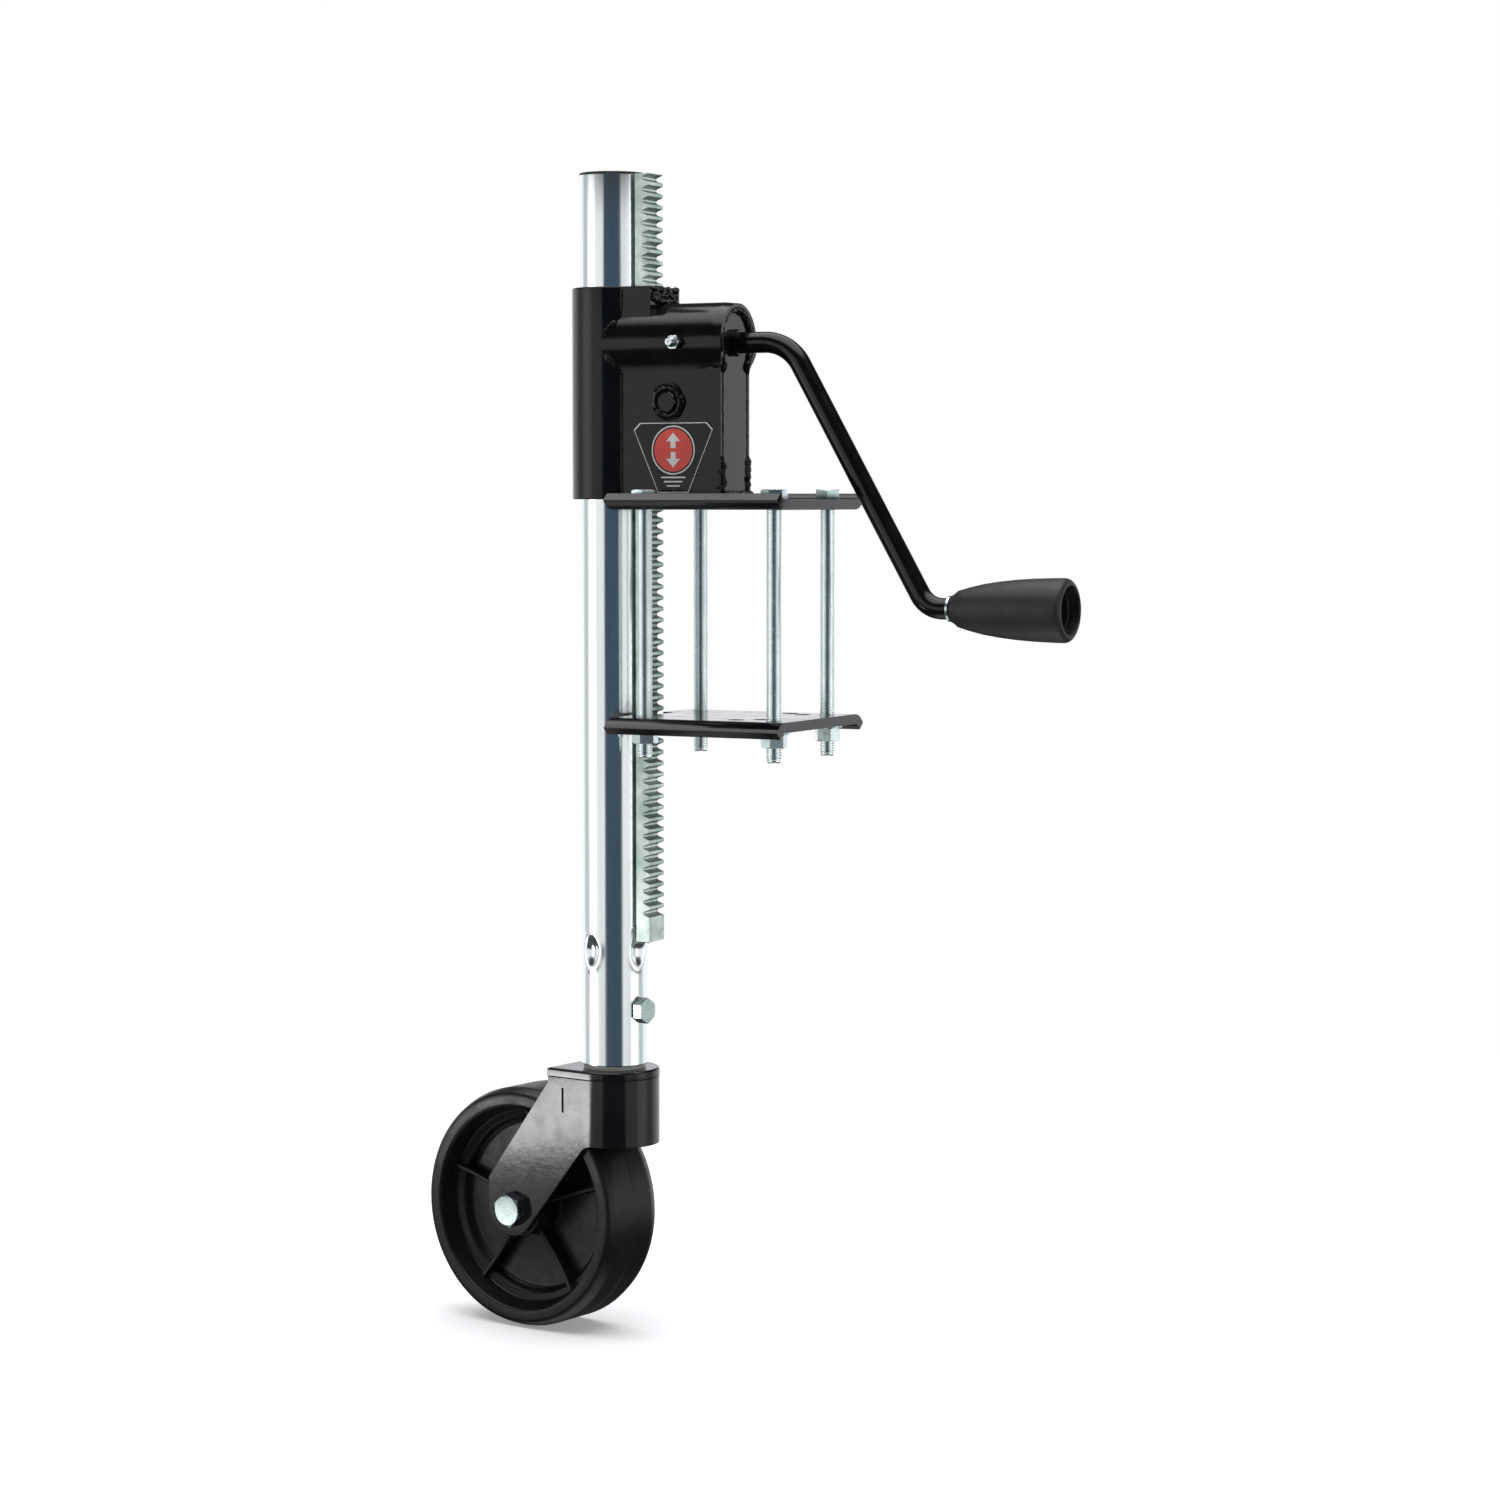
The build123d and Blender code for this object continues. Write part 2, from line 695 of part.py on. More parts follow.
nodes = {
    "outer_sleeve": outer_sleeve(),
    "upper_guide_bush": guide_bush(sleeve_top - bush_height - 2),
    "lower_guide_bush": guide_bush(plate_t + 2),
    "gear_case_shell": gear_case_shell(),
    "rack_channel": rack_channel(),
    "case_end_plate": case_end_plate(),
    "crank_bushing_inner": crank_bushing(bushing_x, channel_x),
    "crank_bushing_outer": crank_bushing_outer(),
    "gear_axle_pin": gear_axle_pin(),
    "pin_bosses": pin_bosses(),
    "gear_side_spacers": gear_side_spacers(),
    "grease_fitting": grease_fitting(),
    "grease_fitting_ball": grease_fitting_ball(),
    "maker_label": maker_label(),
    "upper_clamp_plate": clamp_plate(),
    "lower_clamp_plate": lower_clamp_plate(),
    "clamp_bolts": at_clamp_bolts(clamp_bolt()),
    "clamp_nuts": at_clamp_bolts(clamp_nut()),
    "clamp_washers": at_clamp_bolts(clamp_washer()),
    "inner_tube": inner_tube(),
    "rack": rack(),
    "tube_cap": tube_cap(),
    "stem_bearing_sleeve": stem_bearing_sleeve(),
    "stem_retaining_bolt": stem_retaining_bolt(),
    "drive_gear": drive_gear(),
    "gear_bushing": gear_bushing(),
    "worm": worm(),
    "worm_pin": worm_pin(),
    "crank_spacer": crank_spacer(),
    "crank_thrust_washers": crank_thrust_washers(),
    "crank_handle": crank_handle(),
    "grip_washer": grip_washer(),
    "grip_retainer": grip_retainer(),
    "crank_grip": crank_grip(),
    "caster_fork": caster_fork(),
    "fork_cap_plate": fork_cap_plate(),
    "caster_stem": caster_stem(),
    "swivel_thrust_washer": swivel_thrust_washer(),
    "axle_bolt": axle_bolt(),
    "axle_nut": axle_nut(),
    "axle_spacers": axle_spacers(),
    "wheel": wheel(),
    "wheel_bushing": wheel_bushing(),
}

os.makedirs("parts", exist_ok=True)
for name, shape in nodes.items():
    export_step(row * shape, f"parts/{name}.step")
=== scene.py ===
"""Looks of a trailer tongue jack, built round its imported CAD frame.

Shapes are drawn in millimetres about the lift tube's axis (+Z up, +X towards the crank, -Y the
labelled side) and written out in metres in the row's frame.
"""

import json
import math

import bmesh
import bpy
from mathutils import Matrix, Vector, noise

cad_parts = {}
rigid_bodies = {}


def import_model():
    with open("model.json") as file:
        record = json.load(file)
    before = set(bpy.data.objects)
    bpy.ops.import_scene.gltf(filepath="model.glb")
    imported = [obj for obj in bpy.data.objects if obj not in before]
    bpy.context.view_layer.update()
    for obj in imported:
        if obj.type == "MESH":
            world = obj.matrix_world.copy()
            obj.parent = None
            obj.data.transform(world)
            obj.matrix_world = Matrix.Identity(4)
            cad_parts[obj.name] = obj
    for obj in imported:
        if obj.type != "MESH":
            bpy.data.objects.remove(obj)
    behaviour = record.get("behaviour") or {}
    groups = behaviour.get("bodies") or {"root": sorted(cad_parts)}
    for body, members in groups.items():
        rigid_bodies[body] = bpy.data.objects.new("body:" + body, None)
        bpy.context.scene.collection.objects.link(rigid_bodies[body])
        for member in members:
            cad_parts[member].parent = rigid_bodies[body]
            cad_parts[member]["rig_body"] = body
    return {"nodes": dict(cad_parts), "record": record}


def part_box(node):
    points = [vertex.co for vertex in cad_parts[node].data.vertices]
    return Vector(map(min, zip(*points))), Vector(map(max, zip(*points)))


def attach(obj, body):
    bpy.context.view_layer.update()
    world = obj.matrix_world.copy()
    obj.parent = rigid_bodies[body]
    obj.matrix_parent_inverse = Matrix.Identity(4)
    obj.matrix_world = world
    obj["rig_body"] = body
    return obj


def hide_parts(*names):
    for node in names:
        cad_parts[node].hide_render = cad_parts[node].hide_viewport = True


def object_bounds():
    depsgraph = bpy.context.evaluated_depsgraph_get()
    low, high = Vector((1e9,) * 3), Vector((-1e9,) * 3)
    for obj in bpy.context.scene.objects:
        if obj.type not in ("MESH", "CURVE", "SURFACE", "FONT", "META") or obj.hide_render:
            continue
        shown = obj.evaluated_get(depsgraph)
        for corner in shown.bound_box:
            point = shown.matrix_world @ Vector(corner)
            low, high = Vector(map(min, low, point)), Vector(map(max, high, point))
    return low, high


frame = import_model()
cad_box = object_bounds()
nodes = frame["nodes"]

MM = 0.001
FULL_TURN = 2 * math.pi


def box_mm(node):
    """A node's lowest and highest corners, in millimetres in the row's frame."""
    low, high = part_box(node)
    return low / MM, high / MM


# --- sizes, in millimetres, read from the frame where a node's box shows them ---
tube_low, tube_high = box_mm("inner_tube")
sleeve_low, sleeve_high = box_mm("outer_sleeve")
grip_low, grip_high = box_mm("crank_grip")
wheel_low, wheel_high = box_mm("wheel")
label_low, label_high = box_mm("maker_label")
axis_x = (tube_low.x + tube_high.x) / 2

TUBE_R = (tube_high.x - tube_low.x) / 2
TUBE_WALL = 3.56
SLEEVE_R = sleeve_high.y
SLEEVE_WALL = 2.4
SLOT_HALF = 11.0
PLATE_T = 6.35
LOWER_PLATE_BOTTOM = -127.0 - PLATE_T

DIMPLE_Z = -276.4
DIMPLE_FIRST = math.radians(-14.5)
DIMPLE_COUNT = 4
DIMPLE_HALF_WIDTH = 4.6
DIMPLE_HALF_HEIGHT = 7.5
DIMPLE_DEPTH = 2.7
DIMPLE_LIP = 0.35
RACK_BACK = 21.1
RACK_HALF = 9.5

CRANK_Z = 102.0
CASE_R = 25.0
CASE_HALF = 19.0
CASE_END = 86.0
CHANNEL_X = 37.0
PIN_X, PIN_Z = 49.5, 65.9
PIN_RING_R = 11.75
PIN_R = 6.3

ROD_R = 6.5
ARM_START = 123.0
ARM_ANGLE = math.radians(60)
ARM_BENDS = (28, 17)
HANDLE_Z = (grip_low.z + grip_high.z) / 2
GRIP_SMALL_R = 9.4
GRIP_BORE_R = 6.8
GRIP_MOUTH_R = 14.5
GRIP_MOUTH_DEPTH = 22.0

BOLTS_X = (42.4, 131.3)
BOLTS_Y = (-36.6, 36.6)
BOLT_PITCH = 1.5875
BOLT_CREST = 4.72
BOLT_ROOT = 4.08
BOLT_LENGTH = 158.75
BOLT_HEAD_AF = 14.3
BOLT_HEAD_H = 6.0
WASHER_R = 9.75
WASHER_HOLE_R = 5.15

SWIVEL = math.radians(-9.2)
AXLE_S = 60.5
AXLE_Z = (wheel_low.z + wheel_high.z) / 2
AXLE_R = 6.35
AXLE_HEAD_AF = 19.05
AXLE_HEAD_H = 7.0
AXLE_PITCH = 1.95
FORK_HALF = 28.4
WHEEL_R = (wheel_high.z - wheel_low.z) / 2
WHEEL_HALF = 24.4
WEB_HALF = 4.6
HUB_HALF = 24.7
HUB_R = 18.0
WHEEL_BORE = 8.5
RIBS = 5

TO_ROW = Matrix.Scale(MM, 4) @ Matrix.Translation((axis_x, 0, 0))
CASTER = Matrix.Rotation(SWIVEL, 4, "Z")
AXLE = CASTER @ Matrix.Translation((-AXLE_S, 0, AXLE_Z)) @ Matrix.Rotation(math.pi / 2, 4, "X")
ALONG_X = Matrix.Rotation(math.pi / 2, 4, "Y")
OUT_FRONT = Matrix.Rotation(math.pi / 2, 4, "X")
SIDES = (("front", -1), ("rear", 1))


# ---------------------------------------------------------------- materials
def shader(name, colour, roughness, metallic=0.0, gloss=0.5):
    """A new material and its node tree, with the plain numbers set on the shader."""
    material = bpy.data.materials.new(name)
    material.use_nodes = True
    tree = material.node_tree
    principled = tree.nodes["Principled BSDF"]
    principled.inputs["Base Color"].default_value = (*colour, 1)
    principled.inputs["Roughness"].default_value = roughness
    principled.inputs["Metallic"].default_value = metallic
    principled.inputs["Specular IOR Level"].default_value = gloss
    return material, tree, principled


def object_noise(tree, scale, detail=3.0, stretch=(1, 1, 1)):
    """Noise in the piece's own coordinates, with the scale in features per metre."""
    place = tree.nodes.new("ShaderNodeTexCoord")
    mapping = tree.nodes.new("ShaderNodeMapping")
    mapping.inputs["Scale"].default_value = stretch
    texture = tree.nodes.new("ShaderNodeTexNoise")
    texture.inputs["Scale"].default_value = scale
    texture.inputs["Detail"].default_value = detail
    tree.links.new(place.outputs["Object"], mapping.inputs["Vector"])
    tree.links.new(mapping.outputs["Vector"], texture.inputs["Vector"])
    return texture.outputs["Fac"]


def between(tree, factor, low, high):
    """Maps noise, which stays near 0.3 to 0.7, to a range of values."""
    node = tree.nodes.new("ShaderNodeMapRange")
    node.inputs["From Min"].default_value = 0.3
    node.inputs["From Max"].default_value = 0.7
    node.inputs["To Min"].default_value = low
    node.inputs["To Max"].default_value = high
    tree.links.new(factor, node.inputs["Value"])
    return node.outputs["Result"]


def two_colours(tree, factor, dark, light):
    """Blends two colours by noise."""
    ramp = tree.nodes.new("ShaderNodeValToRGB")
    ramp.color_ramp.elements[0].position = 0.35
    ramp.color_ramp.elements[0].color = (*dark, 1)
    ramp.color_ramp.elements[1].position = 0.65
    ramp.color_ramp.elements[1].color = (*light, 1)
    tree.links.new(factor, ramp.inputs["Fac"])
    return ramp.outputs["Color"]


def bump(tree, principled, layers):
    """Stacks bump layers, each (height, strength, depth in metres)."""
    normal = None
    for height, strength, depth in layers:
        node = tree.nodes.new("ShaderNodeBump")
        node.inputs["Strength"].default_value = strength
        node.inputs["Distance"].default_value = depth
        tree.links.new(height, node.inputs["Height"])
        if normal is not None:
            tree.links.new(normal, node.inputs["Normal"])
        normal = node.outputs["Normal"]
    tree.links.new(normal, principled.inputs["Normal"])


def powder_coat(name, peel=0.12, roughness=(0.10, 0.18)):
    """Glossy black powder coat with a slight orange peel."""
    material, tree, principled = shader(name, (0.004, 0.004, 0.0045), 0.26, gloss=0.34)
    colour = two_colours(tree, object_noise(tree, 45, 4), (0.0030, 0.0030, 0.0034), (0.0055, 0.0055, 0.0062))
    tree.links.new(colour, principled.inputs["Base Color"])
    tree.links.new(between(tree, object_noise(tree, 90, 4), *roughness), principled.inputs["Roughness"])
    coarse = object_noise(tree, 260, 2)
    fine = object_noise(tree, 1400, 2)
    bump(tree, principled, [(coarse, peel, 0.0003), (fine, 0.08, 0.0001)])
    return material


def zinc(name, dark, light, roughness, grain=(1, 1, 1), grain_scale=400, relief=0.08, spangle=60):
    """Plated or bare metal: two tints, uneven roughness and fine drawn or cast grain."""
    material, tree, principled = shader(name, light, roughness[0], metallic=1.0)
    patches = object_noise(tree, spangle, 5, grain)
    tree.links.new(two_colours(tree, patches, dark, light), principled.inputs["Base Color"])
    rub = object_noise(tree, grain_scale, 4, grain)
    tree.links.new(between(tree, rub, *roughness), principled.inputs["Roughness"])
    bump(tree, principled, [(object_noise(tree, grain_scale * 1.7, 3, grain), relief, 0.0002)])
    return material


def plastic(name, dark, light, roughness, skin_scale=900, relief=0.2, gloss=0.5):
    """Moulded plastic with a fine skin."""
    material, tree, principled = shader(name, dark, roughness[0], gloss=gloss)
    colour = two_colours(tree, object_noise(tree, 55, 4), dark, light)
    tree.links.new(colour, principled.inputs["Base Color"])
    tree.links.new(between(tree, object_noise(tree, 160, 4), *roughness), principled.inputs["Roughness"])
    skin = object_noise(tree, skin_scale, 3)
    flow = object_noise(tree, 70, 2)
    bump(tree, principled, [(flow, 0.12, 0.0006), (skin, relief, 0.00015)])
    return material


def zinc_tube():
    """Drawn tube: near a mirror, with fine streaks along it."""
    dark, light = (0.70, 0.76, 0.77), (0.84, 0.87, 0.87)
    return zinc("zinc_tube", dark, light, (0.10, 0.18), (1, 1, 0.02), 500, 0.03, 150)


def wheel_plastic():
    """Smooth hard black plastic."""
    dark, light = (0.0042, 0.0038, 0.0044), (0.007, 0.0064, 0.0074)
    return plastic("wheel_plastic", dark, light, (0.30, 0.42), gloss=0.32)


def grip_plastic():
    """Grained softer black plastic."""
    dark, light = (0.014, 0.013, 0.014), (0.020, 0.019, 0.020)
    return plastic("grip_plastic", dark, light, (0.44, 0.56), 1300, 0.2)


def label_ink(name, dark, light, roughness=(0.22, 0.30), relief=0.03, gloss=0.5):
    """Smooth printed film."""
    return plastic(name, dark, light, roughness, 500, relief, gloss)


MATERIALS = {
    "black_powder_coat": powder_coat("black_powder_coat"),
    "weld_coat": powder_coat("weld_coat", 0.45, (0.06, 0.14)),
    "zinc_tube": zinc_tube(),
    "zinc_rack": zinc("zinc_rack", (0.36, 0.46, 0.42), (0.66, 0.75, 0.71), (0.30, 0.46), relief=0.3),
    "zinc_hardware": zinc("zinc_hardware", (0.50, 0.61, 0.62), (0.78, 0.86, 0.86), (0.20, 0.34)),
    # The bolt threads take a lighter copy of the plated zinc: a painted sheen for the brighter look the fine
    # threads have in the light.
    "zinc_thread": zinc("zinc_thread", (0.78, 0.86, 0.86), (0.86, 0.92, 0.92), (0.22, 0.28), relief=0.0),
    "bronze": zinc("bronze", (0.42, 0.26, 0.10), (0.62, 0.43, 0.20), (0.28, 0.42)),
    "machined_steel": zinc("machined_steel", (0.34, 0.35, 0.36), (0.52, 0.53, 0.54), (0.25, 0.40)),
    "wheel_plastic": wheel_plastic(),
    "grip_plastic": grip_plastic(),
    "cap_plastic": plastic("cap_plastic", (0.020, 0.020, 0.021), (0.035, 0.035, 0.036), (0.5, 0.6)),
    "guide_plastic": plastic("guide_plastic", (0.50, 0.50, 0.46), (0.66, 0.66, 0.62), (0.4, 0.5)),
    "label_face": label_ink("label_face", (0.004,) * 3, (0.006,) * 3, (0.12, 0.18), 0.02, 0.3),
    "label_red": label_ink("label_red", (0.70, 0.035, 0.022), (0.80, 0.060, 0.035)),
    "label_white": label_ink("label_white", (0.74, 0.74, 0.72), (0.84, 0.84, 0.82)),
}


# ---------------------------------------------------------------- mesh helpers
def make(name, verts, faces, body, finish, replaces=(), place=None, crease=35.0):
    """Writes one piece from points in millimetres, smooth but for edges sharper than crease."""
    mesh = bpy.data.meshes.new(name)
    place = TO_ROW if place is None else TO_ROW @ place
    mesh.from_pydata([place @ Vector(v) for v in verts], [], faces)
    work = bmesh.new()
    work.from_mesh(mesh)
    bmesh.ops.remove_doubles(work, verts=work.verts, dist=2e-6)
    bmesh.ops.recalc_face_normals(work, faces=work.faces)
    work.to_mesh(mesh)
    work.free()
    return publish(name, mesh, body, finish, replaces, crease)


def publish(name, mesh, body, finish, replaces=(), crease=35.0):
    """Adds a mesh in metres to the scene, on its body and with its finish and slot."""
    mesh.shade_smooth()
    mesh.set_sharp_from_angle(angle=math.radians(crease))
    piece = bpy.data.objects.new(name, mesh)
    bpy.context.scene.collection.objects.link(piece)
    piece.data.materials.append(MATERIALS[finish])
    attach(piece, body)
    if replaces:
        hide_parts(*replaces)
    return piece


def grid(rows, wrap_rows=False, caps=False):
    """Vertices and quads through equally long closed rows of points."""
    height, width = len(rows), len(rows[0])
    verts = [p for row in rows for p in row]
    faces = []
    for i in range(height if wrap_rows else height - 1):
        a, b = i * width, (i + 1) % height * width
        for j in range(width):
            k = (j + 1) % width
            faces.append((a + j, a + k, b + k, b + j))
    if caps:
        faces.append(tuple(range(width)))
        faces.append(tuple(range((height - 1) * width, height * width)))
    return verts, faces


def joined(parts):
    """Several (vertices, faces) pairs as one."""
    verts, faces = [], []
    for part_verts, part_faces in parts:
        start = len(verts)
        verts += part_verts
        faces += [tuple(i + start for i in f) for f in part_faces]
    return verts, faces


def moved(part, place):
    """A (vertices, faces) pair put at a place."""
    verts, faces = part
    return [place @ Vector(v) for v in verts], faces


def arc_between(centre, start, end, steps):
    """Points along the arc about a centre from one point to another."""
    first, last = start - centre, end - centre
    turn = first.angle(last)
    points = []
    for k in range(steps + 1):
        t = k / steps
        a = math.sin((1 - t) * turn) / math.sin(turn)
        b = math.sin(t * turn) / math.sin(turn)
        points.append(centre + first * a + last * b)
    return points


def rounded(points, radii, steps=5):
    """A closed outline with its corners turned into arcs."""
    out = []
    count = len(points)
    for i, radius in enumerate(radii):
        here = Vector(points[i])
        before = Vector(points[i - 1]) - here
        after = Vector(points[(i + 1) % count]) - here
        if radius <= 0:
            out.append(tuple(here))
            continue
        half = before.angle(after) / 2
        reach = min(radius / math.tan(half), 0.49 * before.length, 0.49 * after.length)
        start, end = here + before.normalized() * reach, here + after.normalized() * reach
        middle = (before.normalized() + after.normalized()).normalized()
        centre = here + middle * (reach / math.cos(half))
        out += [tuple(p) for p in arc_between(centre, start, end, steps)]
    return out


def circle(radius, height, steps):
    """A closed row of points about +Z."""
    turns = [FULL_TURN * k / steps for k in range(steps)]
    return [(radius * math.cos(a), radius * math.sin(a), height) for a in turns]


def lathe(outline, steps=96):
    """Turns a closed outline of (radius, height) about +Z."""
    return grid([circle(r, z, steps) for r, z in outline], wrap_rows=True)


def turned(outline, steps=96):
    """Turns an open outline that starts and ends on the axis."""
    return grid([circle(r, z, steps) for r, z in outline])


def along(path, radius, steps=32, shape=None):
    """A round bar along a path, its ends closed. shape(i, angle) scales the radius."""
    points = [Vector(p) for p in path]
    last = len(points) - 1
    tangents = [(points[min(i + 1, last)] - points[max(i - 1, 0)]).normalized() for i in range(last + 1)]
    side = tangents[0].orthogonal().normalized()
    rows = []
    for i, (point, tangent) in enumerate(zip(points, tangents)):
        side = (side - tangent * side.dot(tangent)).normalized()
        up = tangent.cross(side)
        row = []
        for k in range(steps):
            angle = FULL_TURN * k / steps
            scale = radius * (shape(i, angle) if shape else 1)
            row.append(point + (side * math.cos(angle) + up * math.sin(angle)) * scale)
        rows.append(row)
    return grid(rows, caps=True)


def slot_of_node(node):
    """The material slot that the record gives a node."""
    for subpart in frame["record"]["subparts"]:
        if subpart["node"] == node:
            return subpart["material_slot"]
    raise KeyError(node)


def bevelled(node, width, crease=30.0):
    """A CAD node with its hard edges softened, so that they catch the light."""
    mesh = nodes[node].data.copy()
    work = bmesh.new()
    work.from_mesh(mesh)
    bmesh.ops.remove_doubles(work, verts=work.verts, dist=2e-6)
    bmesh.ops.dissolve_limit(
        work,
        angle_limit=math.radians(0.4),
        verts=work.verts,
        edges=work.edges,
        use_dissolve_boundaries=False,
    )
    hard = [e for e in work.edges if e.is_manifold and e.calc_face_angle(0) > math.radians(crease)]
    bmesh.ops.bevel(
        work, geom=hard, offset=width * MM, segments=2, profile=0.6, affect="EDGES", clamp_overlap=True
    )
    bmesh.ops.triangulate(work, faces=[f for f in work.faces if len(f.verts) > 4])
    work.to_mesh(mesh)
    work.free()
    if mesh.attributes.get("custom_normal"):
        mesh.attributes.remove(mesh.attributes["custom_normal"])
    mesh.materials.clear()
    piece = publish(node + "_skin", mesh, nodes[node]["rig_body"], slot_of_node(node), [node], crease)
    weights = piece.modifiers.new("face_weights", "WEIGHTED_NORMAL")
    weights.keep_sharp = True


BEAD_STEP = 1.1
BEAD_RIPPLE = 3.4


def weld_bead(name, path, width, body, seed, lean=0.75, finish="weld_coat", rough=0.30):
    """A rippled weld bead along a path, lean times as high as it is wide."""
    spacing = BEAD_STEP / 3
    points = [Vector(p) for p in path]
    dense = []
    for a, b in zip(points, points[1:]):
        count = max(2, int((b - a).length / spacing))
        dense += [a.lerp(b, k / count) for k in range(count)]
    dense.append(points[-1])
    ends = max(3, int(width / spacing))

    def shape(i, angle):
        left = min(i, len(dense) - 1 - i) / ends
        taper = math.sqrt(max(0.02, 1 - (1 - min(1, left)) ** 2))
        ripple = 1 + 0.07 * math.sin(FULL_TURN * i / BEAD_RIPPLE / BEAD_STEP)
        lump = 1 + rough * noise.noise(Vector((i * 0.11, seed * 7.1, math.cos(angle) * 1.2)))
        return taper * ripple * lump * (1 - (1 - lean) * abs(math.sin(angle)))

    make(name, *along(dense, width / 2, 16, shape), body, finish, crease=60)


# ---------------------------------------------------------------- lift tube
def around(radius, angle, z):
    """A point on a circle about the tube, the angle measured from the front towards the crank."""
    return (radius * math.sin(angle), -radius * math.cos(angle), z)


def dimple_depth(angle, z):
    """How far a pressed crimp pulls the tube's wall in, with a slight lip round it."""
    depth = 0.0
    for quarter in range(DIMPLE_COUNT):
        turn = DIMPLE_FIRST + quarter * FULL_TURN / DIMPLE_COUNT
        off = (angle - turn + math.pi) % FULL_TURN - math.pi
        far = math.hypot(off * TUBE_R / DIMPLE_HALF_WIDTH, (z - DIMPLE_Z) / DIMPLE_HALF_HEIGHT)
        depth += DIMPLE_DEPTH * math.exp(-(far**2.6)) - DIMPLE_LIP * math.exp(-(((far - 1.5) / 0.35) ** 2))
    return depth


def lift_tube():
    """The lift tube with its four crimps, its rows closest where the crimps are."""
    top, bottom = tube_high.z, tube_low.z
    heights = [bottom, bottom + 0.6, bottom + 30]
    heights += [DIMPLE_Z - 15 + 0.75 * k for k in range(41)]
    heights += [DIMPLE_Z + 60 + 60 * k for k in range(7)]
    heights += [top - 0.8, top - 0.3, top]
    broken_edge = {bottom: 0.5, top - 0.3: 0.12, top: 0.5}
    steps = 192
    turns = [FULL_TURN * k / steps for k in range(steps)]
    rows = []
    for z in heights:
        radius = TUBE_R - broken_edge.get(z, 0)
        rows.append([around(radius - dimple_depth(a, z), a, z) for a in turns])
    inner = TUBE_R - TUBE_WALL
    for z, extra in ((top, 0.4), (top - 0.8, 0), (bottom + 0.6, 0), (bottom, 0.4)):
        rows.append([around(inner + extra, a, z) for a in turns])
    make("lift_tube", *grid(rows, wrap_rows=True), "lift_tube", "zinc_tube", ["inner_tube"])


def rack_welds():
    """Short plated welds where the rack's lower end meets the tube."""
    foot_z = box_mm("rack")[0].z
    for side, sign in SIDES:
        y = sign * RACK_HALF
        path = [(RACK_BACK - 2.2, y + 0.3, foot_z - 3.5), (RACK_BACK - 1.6, y, foot_z + 9)]
        weld_bead(f"rack_weld_{side}", path, 3.0, "lift_tube", 5 + y, finish="zinc_rack")
    ends = [(RACK_BACK - 1.9, sign * RACK_HALF, foot_z - 0.6) for _, sign in SIDES]
    foot = [ends[0], (RACK_BACK + 0.2, 0, foot_z - 0.9), ends[1]]
    weld_bead("rack_weld_foot", foot, 3.4, "lift_tube", 3, finish="zinc_rack")


# ---------------------------------------------------------------- sleeve and gear case
def sleeve():
    """Rolled sleeve, open along the rack, with broken edges."""
    low, high = sleeve_low.z, sleeve_high.z
    inner, outer = SLEEVE_R - SLEEVE_WALL, SLEEVE_R
    section = rounded([(inner, low), (outer, low), (outer, high), (inner, high)], [0.4, 0.7, 0.9, 0.6], 4)
    first = math.asin(SLOT_HALF / SLEEVE_R)
    steps = 150
    rows = []
    for k in range(steps + 1):
        a = first + (FULL_TURN - 2 * first) * k / steps
        rows.append([(r * math.cos(a), r * math.sin(a), z) for r, z in section])
    make("sleeve", *grid(rows, caps=True), "frame", "black_powder_coat", ["outer_sleeve"])


def saddle_point(y, above):
    """Where the case's round head meets the sleeve, at a distance y from the middle."""
    rise = math.sqrt(max(0, CASE_R**2 - y**2))
    return (math.sqrt(SLEEVE_R**2 - y**2), y, CRANK_Z + (rise if above else -rise))


def case_welds():
    """Beads on each side of the case, where it meets the sleeve, the clamp plate and its end plate."""
    seam_x = math.sqrt(SLEEVE_R**2 - CASE_HALF**2)
    foot_z = PLATE_T + 0.5
    for side, sign in SIDES:
        upper = [saddle_point(sign * (24.4 - 0.28 * k), True) for k in range(14)]
        lower = [saddle_point(sign * (24.2 - 0.27 * k), False) for k in range(15)]
        weld_bead(f"saddle_weld_upper_{side}", upper, 5.0, "frame", 11 + sign, rough=0.5)
        weld_bead(f"saddle_weld_lower_{side}", lower, 4.6, "frame", 21 + sign, rough=0.5)
        wall_y = sign * CASE_HALF
        seam = [(seam_x, wall_y, PLATE_T + 1), (seam_x, wall_y, 85)]
        weld_bead(f"side_seam_{side}", seam, 1.8, "frame", 31 + sign, lean=1)
        foot_y = sign * (CASE_HALF + 0.4)
        foot = [(32, foot_y, foot_z), (58, foot_y, foot_z)]
        weld_bead(f"foot_weld_{side}", foot, 4.6, "frame", 41 + sign)
        corner_x, corner_y = CASE_END - 0.8, sign * (CASE_HALF - 2.6)
        corner = [(corner_x, corner_y, PLATE_T + 2), (corner_x, corner_y, 34)]
        weld_bead(f"end_weld_{side}", corner, 6.4, "frame", 51 + sign, lean=0.7, rough=0.4)
        edge_x, edge_y = CASE_END - 0.3, sign * (CASE_HALF - 3.0)
        edge = [(edge_x, edge_y, 33), (edge_x, edge_y, 84)]
        weld_bead(f"end_seam_{side}", edge, 1.8, "frame", 57 + sign, lean=1, rough=0.25)


